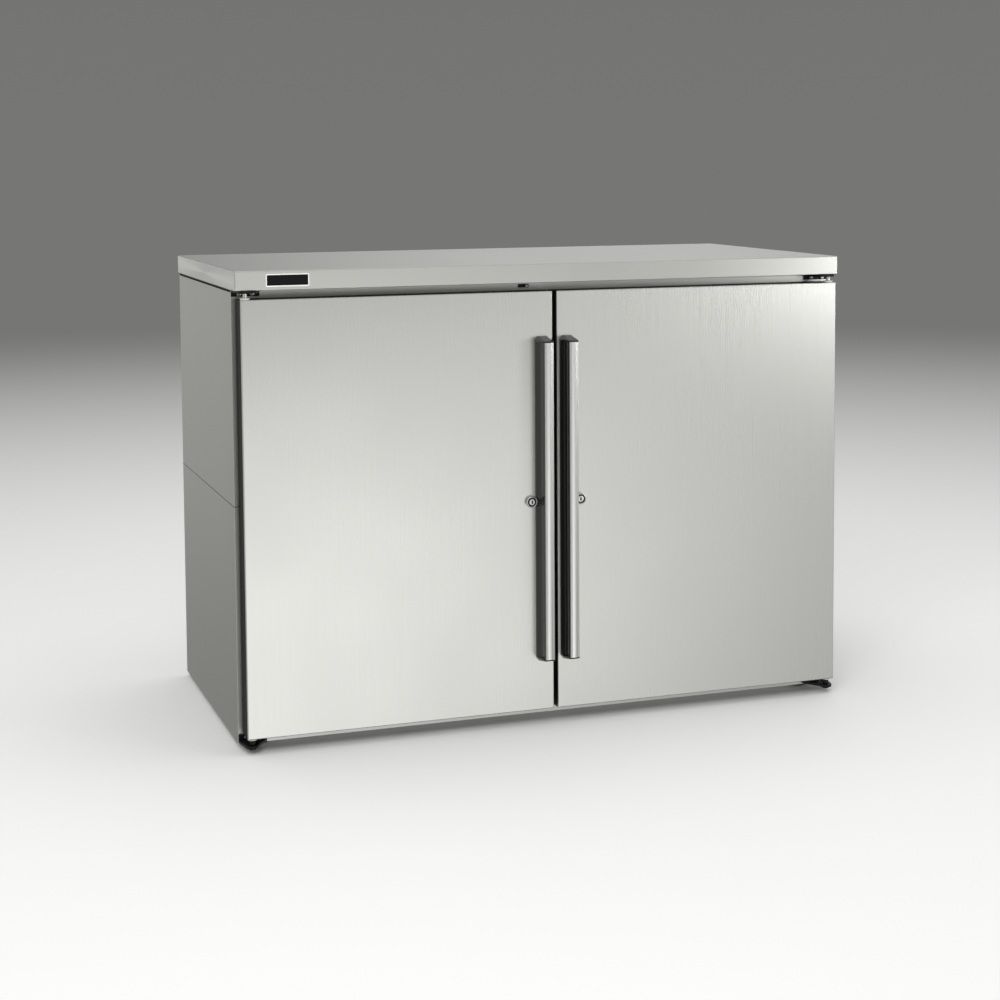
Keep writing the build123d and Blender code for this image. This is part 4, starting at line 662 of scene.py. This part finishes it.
def makeGuard(name, g, body):
    # rings r = const and straight bars, both lifted by bow x (1 - (r / reach)^2) ahead of the fan
    x0, y0, z0 = g["place"]
    low, high = g["reach"]
    wire, angle, around = g["wire"], turnSteps(g["ringSteps"]), turnSteps(g["wireSteps"])
    grids = []
    for r in np.linspace(*g["rings"]):
        lift = g["bow"] * (1 - (r / high) ** 2)
        ring = r + wire * np.cos(around)[None, :]
        x = x0 + ring * np.cos(angle)[:, None]
        z = z0 + ring * np.sin(angle)[:, None]
        y = np.broadcast_to(y0 - lift + wire * np.sin(around)[None, :], x.shape)
        grids.append((metres(x, y, z), True, True, False))
    r = np.linspace(low, high, g["barSteps"])
    lift = g["bow"] * (1 - (r / high) ** 2)
    for turn in np.arange(g["bars"]) * 2 * pi / g["bars"]:
        path = np.stack([x0 + r * np.cos(turn), y0 - lift + g["barDrop"] * wire,
                         z0 + r * np.sin(turn)], -1)
        grids.append((tubeGrid(path, wire * g["barWire"]) * mm, False, True, True))
    gridMesh(name, grids, "coated_wire", body, 50.0)


# seal under the counter: a round black bead along both sides and the back; its black also stands as
# painted shade for the shadow line under the counter's edge

bead = {"radius": 1.6, "tall": 1.6, "corner": 6.0, "cornerSteps": 7, "around": 14,
        "side": 607.7, "front": -236.0, "back": 319.2, "height": 850.3}


def makeBead(b):
    # up one side, round two quarter circles at the back and down the other, taller than it is wide
    x, front, back, z = b["side"], b["front"], b["back"], b["height"]
    t = np.linspace(0, pi / 2, b["cornerSteps"])
    left = np.stack([-x + b["corner"] * (1 - np.cos(t)), back - b["corner"] * (1 - np.sin(t))], -1)
    right = left[::-1] * [-1, 1]
    halfway = (front + back) / 2
    path = np.concatenate([[(-x, front), (-x, halfway)], left, right, [(x, halfway), (x, front)]])
    path = np.concatenate([path, np.full((len(path), 1), z)], 1)
    tube = tubeGrid(path, b["radius"], b["around"])
    tube[..., 2] = z + (tube[..., 2] - z) * b["tall"]
    gridMesh("counterSealAndShadowLine", [(tube * mm, False, True, True)], "black_rubber", "root", 50.0)


# black sealant in the seam between the side panels

seamSealant = {"radius": 0.58, "corner": 1.0, "cornerSteps": 7, "around": 10,
               "side": 607.9, "front": -236.4, "back": 319.0, "inner": 567.2, "height": 453.0}


def makeSealant(q):
    # along the side from the back, round a quarter circle at the front corner, then over the
    # front fold
    bend, t = q["corner"], np.linspace(0, pi / 2, q["cornerSteps"])
    corner = np.stack([q["side"] - bend * (1 - np.cos(t)), q["front"] + bend * (1 - np.sin(t))], -1)
    path = np.concatenate([[(q["side"], q["back"]), (q["side"], 0)], corner,
                           [(q["inner"], q["front"])]])
    path = np.concatenate([path, np.full((len(path), 1), q["height"])], 1)
    tubes = [(tubeGrid(path * [side, 1, 1], q["radius"], q["around"]) * mm, False, True, True)
             for side in (-1, 1)]
    gridMesh("sideSeamSealant", tubes, "black_rubber", "root", 50.0)


for name, side in (("left", -1), ("right", 1)):
    makeGrip(name, side, handle)
    makeStrip(name, side, handle, strip)
    makeSeal(name, side, seal)
    makeLock(name, side, lock)
makeScrewHeads(screwHead)
makeGuard("evaporatorGuard", guard, "root")
makeBead(bead)
makeSealant(seamSealant)
print("pieces made")


# camera at the photograph's viewing angle

view = {"place": (-1.2845, -3.7854, 1.0996), "turn": 19.757, "down": 4.587, "roll": -0.293,
        "focalPixels": 1966.0, "middle": (540.0, 310.0), "frame": 1000.0, "sensor": 36.0,
        "nearest": 0.05, "furthest": 100.0}
camera = bpy.data.objects.new("camera", bpy.data.cameras.new("camera"))
camera.data.sensor_width = view["sensor"]
camera.data.sensor_fit = "HORIZONTAL"
camera.data.lens = view["focalPixels"] / view["frame"] * camera.data.sensor_width
camera.data.shift_x = 0.5 - view["middle"][0] / view["frame"]
camera.data.shift_y = view["middle"][1] / view["frame"] - 0.5
camera.data.clip_start = view["nearest"]
camera.data.clip_end = view["furthest"]
camera.location = view["place"]
camera.rotation_mode = "XYZ"
aim = Euler((radians(90 - view["down"]), 0, radians(-view["turn"])), "XYZ").to_matrix()
camera.rotation_euler = (aim @ Euler((0, 0, radians(view["roll"])), "XYZ").to_matrix()).to_euler()
bpy.context.scene.collection.objects.link(camera)
bpy.context.scene.camera = camera
print("camera set")


# floor, world and lamps

studio = {
    # floor and wall tones, where the floor starts and ends turning into the wall's tone, in metres,
    # and the sine of the height at which the wall reaches its upper tone
    "floor": "#f5f5f3", "floorSize": 60.0, "far": "#767675", "high": "#666665",
    "fadeFrom": 0.9, "fadeTo": 9.0, "wallTop": 0.35,
    # even light on everything, and the plain room that the metal mirrors, where 1 is white
    "diffuse": 0.68, "room": 0.295,
}

reflectors = {
    # soft bright sheets that only the metal mirrors: turn from straight ahead of the doors
    # towards +X, height above the horizon and half width, all in degrees, and brightness
    "doorMiddle": (16.5, -12, 11, 1.25), "doorLow": (4, -17, 12, 1.5),
    "doorLeft": (8, -12, 11, 0.2), "doorRight": (31, -7, 11, 0.20),
    "side": (191, -3, 13, 0.39), "top": (157, 5, 15, 0.55), "ceiling": (0, 80, 80, 0.5),
    "leftRoom": (-52, -4, 42, 0.3), "rightRoom": (92, -4, 46, 0.3), "backRoom": (-105, -4, 40, 0.3),
}

softBoxes = {
    # place, target and size in metres, watts, and whether the metal mirrors the lamp: the two high
    # ones would show as a white patch on the counter
    "rightFront": {"place": (3.4, -3.9, 1.0), "target": (0.5, -0.3, 0.8), "size": (1.1, 1.0),
                   "watts": 28, "mirrored": True},
    "key": {"place": (-2.0, -3.6, 3.0), "target": (0, -0.6, 0.3), "size": (2.2, 2.2),
            "watts": 76, "mirrored": False},
    "overhead": {"place": (0.3, 0.2, 3.4), "target": (0, 0, 0.8), "size": (2.6, 1.8),
                 "watts": 24, "mirrored": False},
    "sideBack": {"place": (-3.7, 5.6, 1.9), "target": (-0.6, 0.2, 0.9), "size": (1.8, 1.2),
                 "watts": 11, "mirrored": True},
}


def makeFloor(settings):
    # one large square of matt paper
    mesh = bpy.data.meshes.new("floor")
    half = settings["floorSize"] / 2
    mesh.from_pydata([(-half, -half, 0), (half, -half, 0), (half, half, 0), (-half, half, 0)], [],
                     [(0, 1, 2, 3)])
    floor = bpy.data.objects.new("floor", mesh)
    bpy.context.scene.collection.objects.link(floor)
    floor.visible_glossy = False    # the metal mirrors the room and its reflectors
    material, tree, shader = startMaterial("paleStudioFloor", settings["floor"], 0.6)
    paper = stretchedNoise(tree, (3, 3, 3), 2.0)
    addBump(tree, shader, paper.outputs["Fac"], 0.05, 0.2)
    # far from the object the floor runs into the wall's own tone, so no horizon shows
    place = addNode(tree, "ShaderNodeTexCoord")
    distance = addNode(tree, "ShaderNodeVectorMath", {"operation": "LENGTH"}, {
        0: place.outputs["Object"]})
    fade = addNode(tree, "ShaderNodeMapRange", {"interpolation_type": "SMOOTHSTEP"}, {
        "Value": distance.outputs["Value"],
        "From Min": settings["fadeFrom"], "From Max": settings["fadeTo"]})
    path = addNode(tree, "ShaderNodeLightPath")
    seen = addNode(tree, "ShaderNodeMath", {"operation": "MULTIPLY"}, {
        0: fade.outputs["Result"], 1: path.outputs["Is Camera Ray"]})
    glow = addNode(tree, "ShaderNodeEmission", None, {
        "Color": srgb(settings["far"]), "Strength": 1.0})
    both = addNode(tree, "ShaderNodeMixShader", None, {
        0: seen.outputs[0], 1: shader.outputs["BSDF"], 2: glow.outputs[0]})
    tree.links.new(both.outputs[0], tree.nodes["Material Output"].inputs["Surface"])
    mesh.materials.append(material)


def makeWorld(settings, sheets):
    # a grey wall for the camera, a room with soft reflectors for the metal, even light for all else
    world = bpy.data.worlds.new("studio")
    bpy.context.scene.world = world
    world.use_nodes = True
    tree = world.node_tree
    tree.nodes.clear()
    place = addNode(tree, "ShaderNodeTexCoord")
    axes = addNode(tree, "ShaderNodeSeparateXYZ", None, {"Vector": place.outputs["Generated"]})
    up = addNode(tree, "ShaderNodeMapRange", {"interpolation_type": "SMOOTHSTEP"}, {
        "Value": axes.outputs["Z"], "From Min": 0.0, "From Max": settings["wallTop"]})
    wall = addNode(tree, "ShaderNodeMix", {"data_type": "RGBA"}, {"Factor": up.outputs["Result"]})
    wall.inputs["A"].default_value = srgb(settings["far"])
    wall.inputs["B"].default_value = srgb(settings["high"])
    # each sheet adds its brightness times a smooth step of the cosine of the angle to its middle
    total = addNode(tree, "ShaderNodeMath", {"operation": "ADD"}, {0: settings["room"], 1: 0.0})
    for name, (turn, height, reach, brightness) in sheets.items():
        turn, height = radians(turn), radians(height)
        middle = (sin(turn) * cos(height), -cos(turn) * cos(height), sin(height))
        near = addNode(tree, "ShaderNodeVectorMath", {"operation": "DOT_PRODUCT"}, {
            0: place.outputs["Generated"], 1: middle})
        step = {"interpolation_type": "SMOOTHSTEP", "name": name}
        part = addNode(tree, "ShaderNodeMapRange", step, {
            "Value": near.outputs["Value"], "From Min": cos(radians(reach)), "From Max": 1.0,
            "To Max": brightness})
        total = addNode(tree, "ShaderNodeMath", {"operation": "ADD"}, {
            0: total.outputs[0], 1: part.outputs["Result"]})
    path = addNode(tree, "ShaderNodeLightPath")
    mirrored = addNode(tree, "ShaderNodeMath", {"operation": "MAXIMUM"}, {
        0: path.outputs["Is Glossy Ray"], 1: path.outputs["Is Transmission Ray"]})
    white = srgb("#ffffff")
    light = addNode(tree, "ShaderNodeBackground", None, {
        "Color": white, "Strength": settings["diffuse"]})
    room = addNode(tree, "ShaderNodeBackground", None, {
        "Color": white, "Strength": total.outputs[0]})
    shown = addNode(tree, "ShaderNodeBackground", None, {
        "Color": wall.outputs["Result"], "Strength": 1.0})
    lit = addNode(tree, "ShaderNodeMixShader", None, {
        0: mirrored.outputs[0], 1: light.outputs[0], 2: room.outputs[0]})
    both = addNode(tree, "ShaderNodeMixShader", None, {
        0: path.outputs["Is Camera Ray"], 1: lit.outputs[0], 2: shown.outputs[0]})
    out = addNode(tree, "ShaderNodeOutputWorld")
    tree.links.new(both.outputs[0], out.inputs["Surface"])


def makeSoftBox(name, box):
    # a rectangular lamp that looks at its target
    lamp = bpy.data.lights.new(name, "AREA")
    lamp.shape = "RECTANGLE"
    lamp.size, lamp.size_y = box["size"]
    lamp.energy = box["watts"]
    holder = bpy.data.objects.new(name, lamp)
    holder.location = box["place"]
    towards = Vector(box["target"]) - Vector(box["place"])
    holder.rotation_euler = towards.to_track_quat("-Z", "Y").to_euler()
    holder.visible_camera = False
    holder.visible_glossy = box["mirrored"]
    bpy.context.scene.collection.objects.link(holder)


makeFloor(studio)
makeWorld(studio, reflectors)
for name, box in softBoxes.items():
    makeSoftBox(name, box)
bpy.context.scene.view_settings.view_transform = "Standard"
print("stage made")
